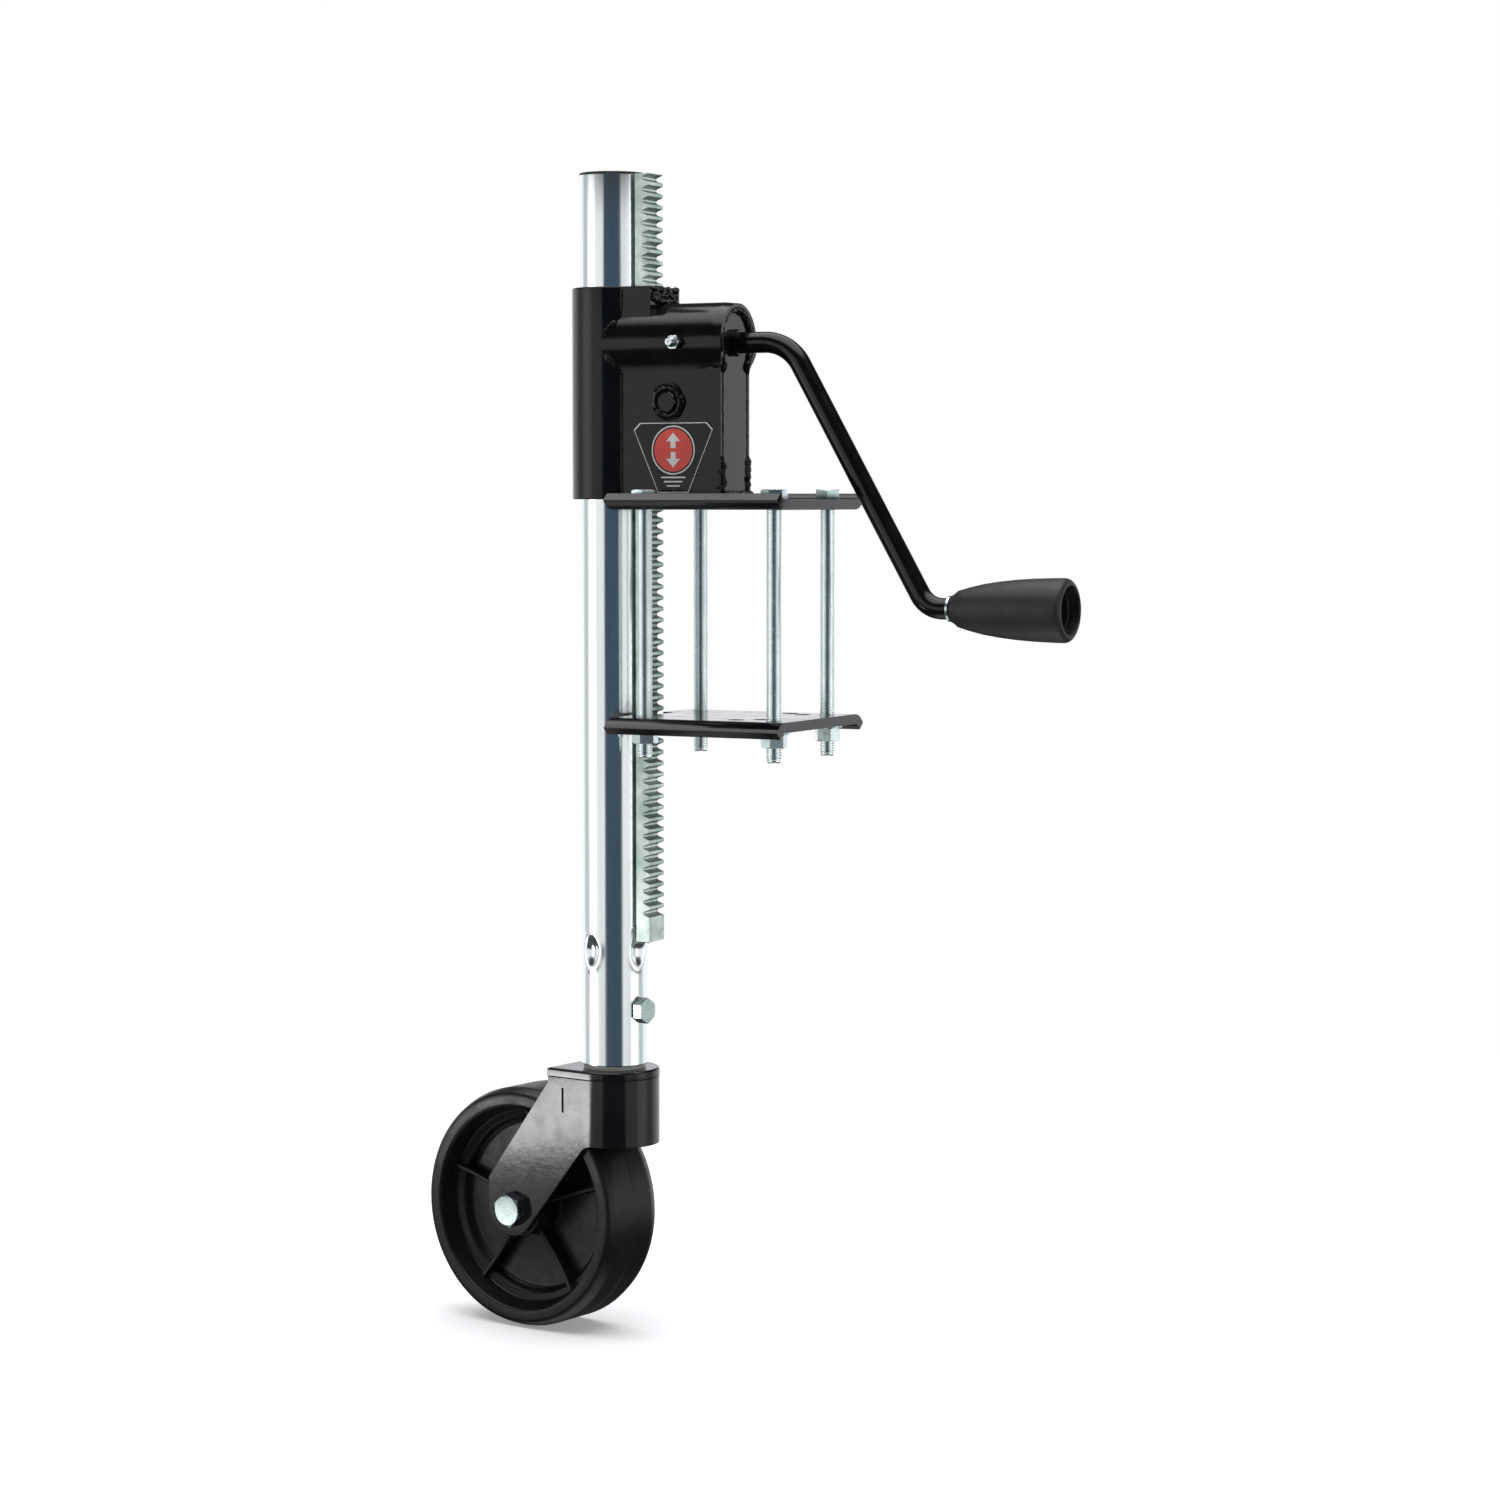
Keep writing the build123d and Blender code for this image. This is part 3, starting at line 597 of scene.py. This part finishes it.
def end_welds():
    """The bead along the end plate's foot, and the ring round its head."""
    foot_x, foot_y, foot_z = CASE_END + 1.0, CASE_HALF + 1, PLATE_T + 1
    across = [(foot_x, -foot_y, foot_z), (foot_x, foot_y, foot_z)]
    weld_bead("end_foot_weld", across, 8.0, "frame", 61, lean=0.8, rough=0.6)
    radius = 20.4
    neck = math.acos(15.0 / radius)
    ring = []
    for k in range(61):
        a = -neck + (math.pi + 2 * neck) * k / 60
        ring.append((CASE_END + 0.6, radius * math.cos(a), CRANK_Z + radius * math.sin(a)))
    tail_x, tail_y, tail_z = CASE_END - 0.2, 16.2, CRANK_Z - 19
    ring = [(tail_x, tail_y, tail_z)] + ring + [(tail_x, -tail_y, tail_z)]
    weld_bead("head_weld", ring, 4.2, "frame", 71, lean=0.9, rough=0.4)


def channel_welds():
    """Coarse straying beads over the rack channel's outer wall, and fine ones down its corners."""
    half = CASE_HALF - 1.5
    for k in range(3):
        path = []
        for j in range(9):
            stray = 1.3 * noise.noise(Vector((j * 0.6, k * 3.7, 0)))
            path.append((CHANNEL_X + 0.1, half * (j / 4 - 1), 128.8 + 3.1 * k + stray))
        weld_bead(f"channel_weld_{k}", path, 4.4, "frame", 80 + k, rough=0.7)
    seam_x = math.sqrt(SLEEVE_R**2 - CASE_HALF**2)
    for side, sign in SIDES:
        path = [(seam_x, sign * CASE_HALF, 121), (seam_x, sign * CASE_HALF, sleeve_high.z - 1)]
        weld_bead(f"channel_seam_{side}", path, 1.8, "frame", 90 + sign, lean=1)


def pin_ring(sign):
    """A lumpy ring of weld round the gear pin's end."""
    corners = [(6.2, 0), (PIN_RING_R, 0), (PIN_RING_R - 0.35, 2.2), (8.6, 3.0), (6.4, 1.8)]
    steps = 96
    rows = []
    for r, z in rounded(corners, [0, 0.5, 1.2, 1.4, 0.8], 4):
        row = []
        for k in range(steps):
            a = FULL_TURN * k / steps
            lump = noise.noise(Vector((math.cos(a) * 1.7, math.sin(a) * 1.7, sign * 3 + r * 0.12)))
            ripple = 0.02 * math.sin(a * 13)
            grow = 1 + (0.09 * lump if r > 7 else 0)
            height = z * (1 + 0.32 * lump + ripple) - 0.3
            row.append((r * grow * math.cos(a), r * grow * math.sin(a), height))
        rows.append(row)
    return grid(rows, wrap_rows=True)


def pin_ends():
    """A weld ring with the pin's dished end inside it, on each side of the case."""
    axis = 1e-4
    dish = [(axis, -1), (axis, 0.5), (2.2, 0.55), (4.2, 0.9)]
    dish += [(5.4, 1.5), (PIN_R, 1.2), (PIN_R, -1), (axis, -1)]
    for side, sign in (("front", 1), ("rear", -1)):
        turn = Matrix.Rotation(0 if sign == 1 else math.pi, 4, "Z")
        on_wall = Matrix.Translation((0, 0, CASE_HALF))
        place = Matrix.Translation((PIN_X, 0, PIN_Z)) @ turn @ OUT_FRONT @ on_wall
        replaced = ["pin_bosses"] if sign == 1 else []
        make(f"pin_ring_{side}", *pin_ring(sign), "frame", "weld_coat", replaced, place, 60)
        make(f"pin_end_{side}", *turned(dish, 64), "frame", "black_powder_coat", [], place, 50)


# ---------------------------------------------------------------- bolts
CHAMFER_SLOPE = 0.58


def hexagon_side(across_flats, a):
    """The distance from a hexagon's centre to its side, at an angle."""
    to_flat = (math.degrees(a) + 30) % 60 - 30
    return across_flats / 2 / math.cos(math.radians(to_flat))


def hex_head(across_flats, height, steps=72):
    """A six-sided head chamfered in a cone, with a slight dish in its top."""
    limit = across_flats / 2 * 0.97
    rows = [[], [], [], [], []]
    for k in range(steps):
        a = FULL_TURN * k / steps
        side = hexagon_side(across_flats, a)
        shoulder = height - max(0, side - limit) * CHAMFER_SLOPE
        profile = (
            (side * 0.975, 0),
            (side, 0.35),
            (side, shoulder),
            (limit, height),
            (limit * 0.72, height - 0.15),
        )
        for row, (r, z) in zip(rows, profile):
            row.append((r * math.cos(a), r * math.sin(a), z))
    return grid(rows, caps=True)


def hex_nut(across_flats, bore, height, steps=72):
    """A six-sided nut chamfered on both faces, with its bore broken."""
    limit = across_flats / 2 * 0.97
    broken = 0.6
    rows = [[], [], [], [], [], [], [], []]
    for k in range(steps):
        a = FULL_TURN * k / steps
        side = hexagon_side(across_flats, a)
        cut = max(0, side - limit) * CHAMFER_SLOPE
        profile = (
            (bore + broken, 0),
            (limit, 0),
            (side, cut),
            (side, height - cut),
            (limit, height),
            (bore + broken, height),
            (bore, height - broken),
            (bore, broken),
        )
        for row, (r, z) in zip(rows, profile):
            row.append((r * math.cos(a), r * math.sin(a), z))
    return grid(rows, wrap_rows=True)


def thread(crest, root, pitch, start, end, steps=24):
    """An outside thread with flat crests and roots, fading out at both ends."""
    flank, flat = 0.23, 0.43
    shape = ((root, 0.0), (crest, flank), (crest, flank + flat), (root, 2 * flank + flat))
    points = len(shape)
    turns = int((end - start) / pitch) - 1
    count = turns * steps
    verts, faces = [], []
    for i in range(count + steps + 1):
        a = FULL_TURN * i / steps
        fade = min(1, i / steps, (count + steps - i) / steps)
        for r, share in shape:
            radius = root + (r - root) * fade
            verts.append((radius * math.cos(a), radius * math.sin(a), start + pitch * (i / steps + share)))
    for i in range(count + steps):
        here = points * i
        for j in range(points - 1):
            faces.append((here + j, here + j + 1, here + j + points + 1, here + j + points))
        if i < count:
            above = points * (i + steps)
            faces.append((here + points - 1, above, above + points, here + 2 * points - 1))
    return verts, faces


def clamp_bolts():
    """Four full-thread bolts, each head and point turned its own way."""
    foot = PLATE_T - BOLT_LENGTH
    core = BOLT_ROOT + 0.05
    axis = 1e-4
    corners = [(axis, foot), (core - 0.35, foot), (core, foot + 0.8)]
    corners += [(core, PLATE_T + 1), (axis, PLATE_T + 1)]
    shank = rounded(corners, [0, 0.3, 0.2, 0, 0], 3)
    parts, heads = [], []
    for index, (x, y) in enumerate((x, y) for x in BOLTS_X for y in BOLTS_Y):
        place = Matrix.Translation((x, y, 0)) @ Matrix.Rotation(math.radians(17 + 23 * index), 4, "Z")
        screw = thread(BOLT_CREST, BOLT_ROOT, BOLT_PITCH, foot + 0.6, PLATE_T - 0.2)
        parts.append(moved(screw, place))
        parts.append(moved(turned(shank, 48), place))
        seat = place @ Matrix.Translation((0, 0, PLATE_T))
        heads.append(moved(hex_head(BOLT_HEAD_AF, BOLT_HEAD_H), seat))
    # The shanks take the lighter copy of the zinc, a painted sheen on the threads.
    make("clamp_bolt_shanks", *joined(parts), "frame", "zinc_thread", ["clamp_bolts"], crease=40)
    make("clamp_bolt_heads", *joined(heads), "frame", "zinc_hardware", [], crease=28)


def clamp_nuts():
    """The nuts and their washers under the lower clamp plate."""
    low, high = box_mm("clamp_nuts")
    thick = LOWER_PLATE_BOTTOM - high.z
    corners = [(WASHER_HOLE_R, 0), (WASHER_R, 0), (WASHER_R, thick), (WASHER_HOLE_R, thick)]
    ring = rounded(corners, [0.15, 0.3, 0.3, 0.15], 3)
    nuts, washers = [], []
    for index, (x, y) in enumerate((x, y) for x in BOLTS_X for y in BOLTS_Y):
        place = Matrix.Translation((x, y, low.z)) @ Matrix.Rotation(math.radians(8 + 31 * index), 4, "Z")
        nuts.append(moved(hex_nut(BOLT_HEAD_AF, BOLT_CREST, high.z - low.z), place))
        washers.append(moved(lathe(ring, 72), Matrix.Translation((x, y, high.z))))
    make("clamp_nut_set", *joined(nuts), "frame", "zinc_hardware", ["clamp_nuts"], crease=28)
    make("clamp_washer_set", *joined(washers), "frame", "zinc_hardware", ["clamp_washers"], crease=28)


# ---------------------------------------------------------------- crank and grip
def bent_path(corners, radii, steps=24):
    """A path of straight runs joined by arcs."""
    points = [Vector(c) for c in corners]
    path = [points[0]]
    for here, before, after, radius in zip(points[1:-1], points, points[2:], radii):
        back, ahead = (before - here).normalized(), (after - here).normalized()
        half = back.angle(ahead) / 2
        reach = radius / math.tan(half)
        centre = here + (back + ahead).normalized() * (radius / math.sin(half))
        path += arc_between(centre, here + back * reach, here + ahead * reach, steps)
    path.append(points[-1])
    return path


def crank():
    """One round bar from the worm to the grip, bent twice, its ends chamfered."""
    arm_end = ARM_START + (CRANK_Z - HANDLE_Z) / math.tan(ARM_ANGLE)
    rod_end = grip_high.x - axis_x - 15.0
    start = box_mm("crank_handle")[0].x - axis_x
    corners = [(start, 0, CRANK_Z), (ARM_START, 0, CRANK_Z), (arm_end, 0, HANDLE_Z), (rod_end, 0, HANDLE_Z)]
    path = bent_path(corners, ARM_BENDS)
    path.insert(1, path[0] + Vector((0.6, 0, 0)))
    path.insert(-1, path[-1] - Vector((0.8, 0, 0)))
    ends = (0, len(path) - 1)
    verts, faces = along(path, ROD_R, 48, lambda i, a: 0.9 if i in ends else 1)
    make("crank_rod", verts, faces, "crank", "black_powder_coat", ["crank_handle"], crease=40)


def grip():
    """Swelling hand grip with a deep stepped mouth."""
    length = grip_high.x - grip_low.x
    large = (grip_high.z - grip_low.z) / 2
    rim, mouth, step = 4.0, GRIP_MOUTH_R, 1.0
    floor = length - GRIP_MOUTH_DEPTH
    outline = [(GRIP_BORE_R, 0.6), (GRIP_BORE_R + 0.6, 0), (GRIP_SMALL_R - 2.4, 0)]
    outline += [(GRIP_SMALL_R - 0.9, 0.7), (GRIP_SMALL_R - 0.1, 2.3)]
    swell = [(0.06, 0.58), (0.15, 0.68), (0.27, 0.79), (0.40, 0.87)]
    swell += [(0.55, 0.935), (0.70, 0.975), (0.85, 0.995)]
    outline += [(large * share, length * t) for t, share in swell]
    for k in range(9):
        a = math.pi / 2 * k / 8
        outline.append((large - rim + rim * math.cos(a), length - rim + rim * math.sin(a)))
    outline += [(mouth + 0.5, length - 0.1), (mouth + 0.1, length - 0.6), (mouth, length - 4)]
    outline += [(mouth, length - 7), (mouth - 0.9, length - 7.6), (mouth - step, floor + 0.4)]
    outline += [(mouth - 1.5, floor)]
    outline += [(GRIP_BORE_R + 0.1, floor), (GRIP_BORE_R, floor - 0.5)]
    place = Matrix.Translation((grip_low.x - axis_x, 0, HANDLE_Z)) @ ALONG_X
    make("hand_grip", *lathe(outline, 128), "grip", "grip_plastic", ["crank_grip"], place, 30)


# ---------------------------------------------------------------- wheel and axle
def wheel():
    """Moulded wheel: rounded tread with a parting line, stepped rim, thin web, five ribs, hub."""
    half = [
        (WHEEL_BORE, HUB_HALF),
        (HUB_R, HUB_HALF),
        (HUB_R + 0.8, WEB_HALF),
        (54.5, WEB_HALF),
        (57.0, 10.0),
        (62.0, 11.6),
        (65.6, WHEEL_HALF),
        (74.2, WHEEL_HALF),
        (WHEEL_R, WHEEL_HALF - 7.5),
        (WHEEL_R, 0.5),
    ]
    corners = [0.8, 1.6, 2.4, 3.5, 2.0, 2.0, 1.8, 3.6, 9.0, 0.1]
    groove = [(WHEEL_R - 0.22, 0.0)]
    outline = half + groove + [(r, -z) for r, z in reversed(half)]
    parts = [lathe(rounded(outline, corners + [0.05] + corners[::-1], 6), 160)]
    for sign in (1, -1):
        for spoke in range(RIBS):
            turn = Matrix.Rotation(math.radians(17.5) + FULL_TURN * spoke / RIBS, 4, "Z")
            parts.append(moved(rib(), turn @ Matrix.Diagonal((1, 1, sign, 1))))
    make("caster_wheel", *joined(parts), "wheel", "wheel_plastic", ["wheel"], AXLE, 32)


def rib():
    """One rib on the wheel's web, thinner at its top, dipping between hub and rim."""
    start, end, steps = HUB_R - 2, 62.0, 12
    rows = []
    for k in range(steps + 1):
        r = start + (end - start) * k / steps
        top = 15.5 - 2.2 * math.sin(math.pi * k / steps)
        foot = rounded([(-1.9, 3.6), (1.9, 3.6), (1.25, top), (-1.25, top)], [0, 0, 0.7, 0.7], 4)
        rows.append([(r, y, z) for y, z in foot])
    return grid(rows, caps=True)


def axle_bolt():
    """Hex bolt through the fork and wheel, its far end threaded for the nut."""
    seat = FORK_HALF + 0.02
    end = -FORK_HALF - 18
    axis = 1e-4
    corners = [(axis, end), (5.6, end), (AXLE_R, end + 1.0), (AXLE_R, seat + 1), (axis, seat + 1)]
    shank = rounded(corners, [0, 0.3, 0.3, 0, 0], 3)
    on_seat = Matrix.Translation((0, 0, seat)) @ Matrix.Rotation(math.radians(11), 4, "Z")
    head = moved(hex_head(AXLE_HEAD_AF, AXLE_HEAD_H), on_seat)
    crests = thread(AXLE_R + 0.1, 5.9, AXLE_PITCH, end + 0.8, -FORK_HALF - 1, 32)
    bolt = joined([head, turned(shank, 64), crests])
    make("axle_bolt_turned", *bolt, "caster", "zinc_hardware", ["axle_bolt"], AXLE, 28)


# ---------------------------------------------------------------- label
LABEL_X = (label_low.x + label_high.x) / 2 - axis_x
LABEL_DISC_Z = 36.5
ON_LABEL = Matrix.Translation((LABEL_X, label_low.y, LABEL_DISC_Z))


def flat_piece(outline, thickness):
    """A thin flat piece in the XZ plane, its back at y 0 and its front at -thickness."""
    verts = [(x, 0, z) for x, z in outline] + [(x, -thickness, z) for x, z in outline]
    count = len(outline)
    faces = [tuple(range(count)), tuple(range(count, 2 * count))]
    faces += [(k, (k + 1) % count, (k + 1) % count + count, k + count) for k in range(count)]
    return verts, faces


def label_outline(inset):
    """The label plate's six corners about the disc's centre, moved in from its edge."""
    half = (label_high.x - label_low.x) / 2 - inset * 1.15
    top = label_high.z - inset - LABEL_DISC_Z
    bottom = label_low.z + inset - LABEL_DISC_Z
    left = [(-half * 0.85, top), (-half, top - 4.2), (-half * 0.385, bottom)]
    return left + [(-x, z) for x, z in reversed(left)]


def label_disc():
    """A red disc with a pale ring round it."""
    disc = [(x, z) for x, z, _ in circle(13.2, 0, 64)]
    make("label_disc", *flat_piece(disc, 0.06), "frame", "label_red", [], ON_LABEL)
    section = [(15.0, 0), (15.0, 0.1), (14.2, 0.1), (14.2, 0)]
    rows = [[(x, -y, z) for x, z, _ in circle(r, 0, 96)] for r, y in section]
    make("label_ring", *grid(rows, wrap_rows=True), "frame", "label_white", [], ON_LABEL)


def label_arrows():
    """Two arrows for which way the jack goes."""
    outline = [(-1.7, 1.2), (1.7, 1.2), (1.7, 5.4), (4.8, 5.4), (0, 10.6), (-4.8, 5.4), (-1.7, 5.4)]
    arrows = [flat_piece([(x, sign * z) for x, z in outline], 0.12) for sign in (1, -1)]
    make("label_arrows", *joined(arrows), "frame", "label_white", [], ON_LABEL)


def label_border():
    """A pale line just inside the label plate's edge."""
    outer, inner = label_outline(0.7), label_outline(1.25)
    raised = 0.05
    loops = ((outer, 0), (outer, raised), (inner, raised), (inner, 0))
    rows = [[(x, -y, z) for x, z in line] for line, y in loops]
    make("label_border", *grid(rows, wrap_rows=True), "frame", "label_white", [], ON_LABEL)


def label_bars():
    """Three plain bars below the disc."""
    bars = []
    for k in range(3):
        half = 8.5 - 2.0 * k
        z = -17.2 - 2.6 * k
        bars.append(flat_piece([(-half, z), (half, z), (half, z + 0.9), (-half, z + 0.9)], 0.06))
    make("label_bars", *joined(bars), "frame", "label_white", [], ON_LABEL)


# ---------------------------------------------------------------- build
lift_tube()
rack_welds()
sleeve()
case_welds()
end_welds()
channel_welds()
pin_ends()
clamp_bolts()
clamp_nuts()
crank()
grip()
wheel()
axle_bolt()
label_disc()
label_arrows()
label_border()
label_bars()

EDGE_WIDTHS = {
    "rack": 0.35,
    "gear_case_shell": 0.5,
    "rack_channel": 0.7,
    "case_end_plate": 0.4,
    "upper_clamp_plate": 0.7,
    "lower_clamp_plate": 0.7,
    "caster_fork": 0.6,
    "fork_cap_plate": 0.5,
    "stem_retaining_bolt": 0.3,
    "axle_nut": 0.3,
    "grease_fitting": 0.15,
    "tube_cap": 0.3,
    "grip_washer": 0.25,
    "crank_bushing_outer": 0.3,
}
for name, width in EDGE_WIDTHS.items():
    bevelled(name, width)

for name, node in nodes.items():
    node.data.materials.clear()
    node.data.materials.append(MATERIALS[slot_of_node(name)])

# ---------------------------------------------------------------- floor, light and camera
VIEW_TURN = math.radians(27.21)
VIEW_DOWN = math.radians(4.014)
CAMERA_AT = Vector((1.0188, -1.96326, 0.0070))
CAMERA_LENS = 86.11
FLOOR_RADIUS = 3.2
FLOOR_GAP = 0.0004
SOFTBOX_TURN = math.radians(46)
SOFTBOX_AWAY = 0.55


def pale_floor():
    """A round pale floor that fades out before its edge."""
    rim = circle(FLOOR_RADIUS, 0, 96)
    mesh = bpy.data.meshes.new("floor")
    mesh.from_pydata(rim, [], [tuple(range(len(rim)))])
    floor = bpy.data.objects.new("floor", mesh)
    floor.location.z = cad_box[0].z - FLOOR_GAP
    bpy.context.scene.collection.objects.link(floor)
    material, tree, principled = shader("floor", (0.90, 0.90, 0.90), 0.75)
    principled.inputs["Emission Color"].default_value = (1, 1, 1, 1)
    principled.inputs["Emission Strength"].default_value = 0.25
    place = tree.nodes.new("ShaderNodeTexCoord")
    length = tree.nodes.new("ShaderNodeVectorMath")
    length.operation = "LENGTH"
    fade = tree.nodes.new("ShaderNodeMapRange")
    fade.interpolation_type = "SMOOTHSTEP"
    fade.inputs["From Min"].default_value = 0.35
    fade.inputs["From Max"].default_value = 1.6
    fade.inputs["To Min"].default_value = 1.0
    fade.inputs["To Max"].default_value = 0.0
    tree.links.new(place.outputs["Object"], length.inputs[0])
    tree.links.new(length.outputs["Value"], fade.inputs["Value"])
    tree.links.new(fade.outputs["Result"], principled.inputs["Alpha"])
    mesh.materials.append(material)
    floor.visible_glossy = False


def by_angle(degrees):
    """A ramp position for an angle round from the viewer's side."""
    return degrees / 180


def by_height(degrees):
    """A ramp position for an angle above the horizon."""
    return (math.sin(math.radians(degrees)) + 1) / 2


# The light round the horizon, by angle from the viewer's side, and above and below it by height.
NAVY, SOFT, BRIGHT = (0.055, 0.09, 0.125), (1.0, 1.0, 1.0), (1.8, 1.8, 1.8)
GREY, PALE = (0.60, 0.66, 0.64), (1.15, 1.15, 1.2)
DIM, LOW, UNDER = (0.05, 0.05, 0.055), (0.06, 0.06, 0.065), (0.9, 0.9, 0.9)
CEILING = (2.8, 2.8, 2.9)
OFF, ON = (0, 0, 0), (1, 1, 1)
RING = (
    (by_angle(27), NAVY),
    (by_angle(32), SOFT),
    (by_angle(60), SOFT),
    (by_angle(66), BRIGHT),
    (by_angle(84), BRIGHT),
    (by_angle(98), GREY),
    (by_angle(112), GREY),
    (by_angle(124), PALE),
)
RING_SHARE = ((by_height(-15), OFF), (by_height(-10), ON), (by_height(12), ON), (by_height(20), OFF))
ABOVE_AND_BELOW = (
    (by_height(-62), UNDER),
    (by_height(-50), LOW),
    (by_height(20), DIM),
    (by_height(45), DIM),
    (by_height(58), CEILING),
)


def colour_ramp(tree, stops):
    """A colour ramp through (position, colour) stops."""
    ramp = tree.nodes.new("ShaderNodeValToRGB")
    elements = ramp.color_ramp.elements
    for index, (position, colour) in enumerate(stops):
        stop = elements[index] if index < 2 else elements.new(position)
        stop.position = position
        stop.color = (*colour, 1)
    return ramp


def softbox():
    """A small low light on the left, which draws the sheen on the fork's leg."""
    light = bpy.data.lights.new("softbox", "AREA")
    light.shape = "RECTANGLE"
    light.size = 0.26
    light.size_y = 0.08
    light.energy = 0.055
    light.spread = math.radians(30)
    lamp = bpy.data.objects.new("softbox", light)
    toward = Vector((-math.sin(SOFTBOX_TURN), -math.cos(SOFTBOX_TURN), 0))
    lamp.location = Vector((-0.12, -0.025, -0.465)) + toward * SOFTBOX_AWAY
    lamp.visible_camera = False
    aim = Vector((0, 0, 0.32)) - toward
    lamp.rotation_euler = aim.to_track_quat("-Z", "Y").to_euler()
    bpy.context.scene.collection.objects.link(lamp)


def angle_from_viewer(tree, direction):
    """How far round a direction is from the viewer's side, from 0 to 1 for half a turn."""
    flat = tree.nodes.new("ShaderNodeVectorMath")
    flat.operation = "MULTIPLY"
    flat.inputs[1].default_value = (1, 1, 0)
    unit = tree.nodes.new("ShaderNodeVectorMath")
    unit.operation = "NORMALIZE"
    facing = tree.nodes.new("ShaderNodeVectorMath")
    facing.operation = "DOT_PRODUCT"
    facing.inputs[1].default_value = (math.sin(VIEW_TURN), -math.cos(VIEW_TURN), 0)
    angle = tree.nodes.new("ShaderNodeMath")
    angle.operation = "ARCCOSINE"
    share = tree.nodes.new("ShaderNodeMath")
    share.operation = "DIVIDE"
    share.inputs[1].default_value = math.pi
    tree.links.new(direction, flat.inputs[0])
    tree.links.new(flat.outputs["Vector"], unit.inputs[0])
    tree.links.new(unit.outputs["Vector"], facing.inputs[0])
    tree.links.new(facing.outputs["Value"], angle.inputs[0])
    tree.links.new(angle.outputs["Value"], share.inputs[0])
    return share.outputs["Value"]


def height_share(tree, direction):
    """A direction's height, from 0 for straight down to 1 for straight up."""
    split = tree.nodes.new("ShaderNodeSeparateXYZ")
    lift = tree.nodes.new("ShaderNodeMapRange")
    lift.inputs["From Min"].default_value = -1
    lift.inputs["From Max"].default_value = 1
    tree.links.new(direction, split.inputs["Vector"])
    tree.links.new(split.outputs["Z"], lift.inputs["Value"])
    return lift.outputs["Result"]


def studio():
    """Soft light round the horizon with a dark gap at the viewer, a bright ceiling, white seen behind."""
    world = bpy.data.worlds.new("studio")
    bpy.context.scene.world = world
    world.use_nodes = True
    tree = world.node_tree
    tree.nodes.clear()
    direction = tree.nodes.new("ShaderNodeTexCoord").outputs["Generated"]
    height = height_share(tree, direction)
    ring = colour_ramp(tree, RING)
    weight = colour_ramp(tree, RING_SHARE)
    above = colour_ramp(tree, ABOVE_AND_BELOW)
    mix = tree.nodes.new("ShaderNodeMix")
    mix.data_type = "RGBA"
    light = tree.nodes.new("ShaderNodeBackground")
    seen = tree.nodes.new("ShaderNodeBackground")
    seen.inputs["Color"].default_value = (1, 1, 1, 1)
    path = tree.nodes.new("ShaderNodeLightPath")
    choose = tree.nodes.new("ShaderNodeMixShader")
    output = tree.nodes.new("ShaderNodeOutputWorld")
    link = tree.links.new
    link(angle_from_viewer(tree, direction), ring.inputs["Fac"])
    link(height, weight.inputs["Fac"])
    link(height, above.inputs["Fac"])
    link(weight.outputs["Color"], mix.inputs["Factor"])
    link(above.outputs["Color"], mix.inputs["A"])
    link(ring.outputs["Color"], mix.inputs["B"])
    link(mix.outputs["Result"], light.inputs["Color"])
    link(path.outputs["Is Camera Ray"], choose.inputs["Fac"])
    link(light.outputs["Background"], choose.inputs[1])
    link(seen.outputs["Background"], choose.inputs[2])
    link(choose.outputs["Shader"], output.inputs["Surface"])


def camera():
    """A long lens from the labelled side's right, looking slightly down."""
    data = bpy.data.cameras.new("camera")
    data.sensor_width = 36
    data.lens = CAMERA_LENS
    data.clip_start = 0.05
    eye = bpy.data.objects.new("camera", data)
    ahead = Vector((
        -math.sin(VIEW_TURN) * math.cos(VIEW_DOWN),
        math.cos(VIEW_TURN) * math.cos(VIEW_DOWN),
        -math.sin(VIEW_DOWN),
    ))
    eye.location = CAMERA_AT
    eye.rotation_euler = ahead.to_track_quat("-Z", "Y").to_euler()
    bpy.context.scene.collection.objects.link(eye)
    bpy.context.scene.camera = eye


pale_floor()
studio()
softbox()
camera()
bpy.context.scene.view_settings.view_transform = "Standard"
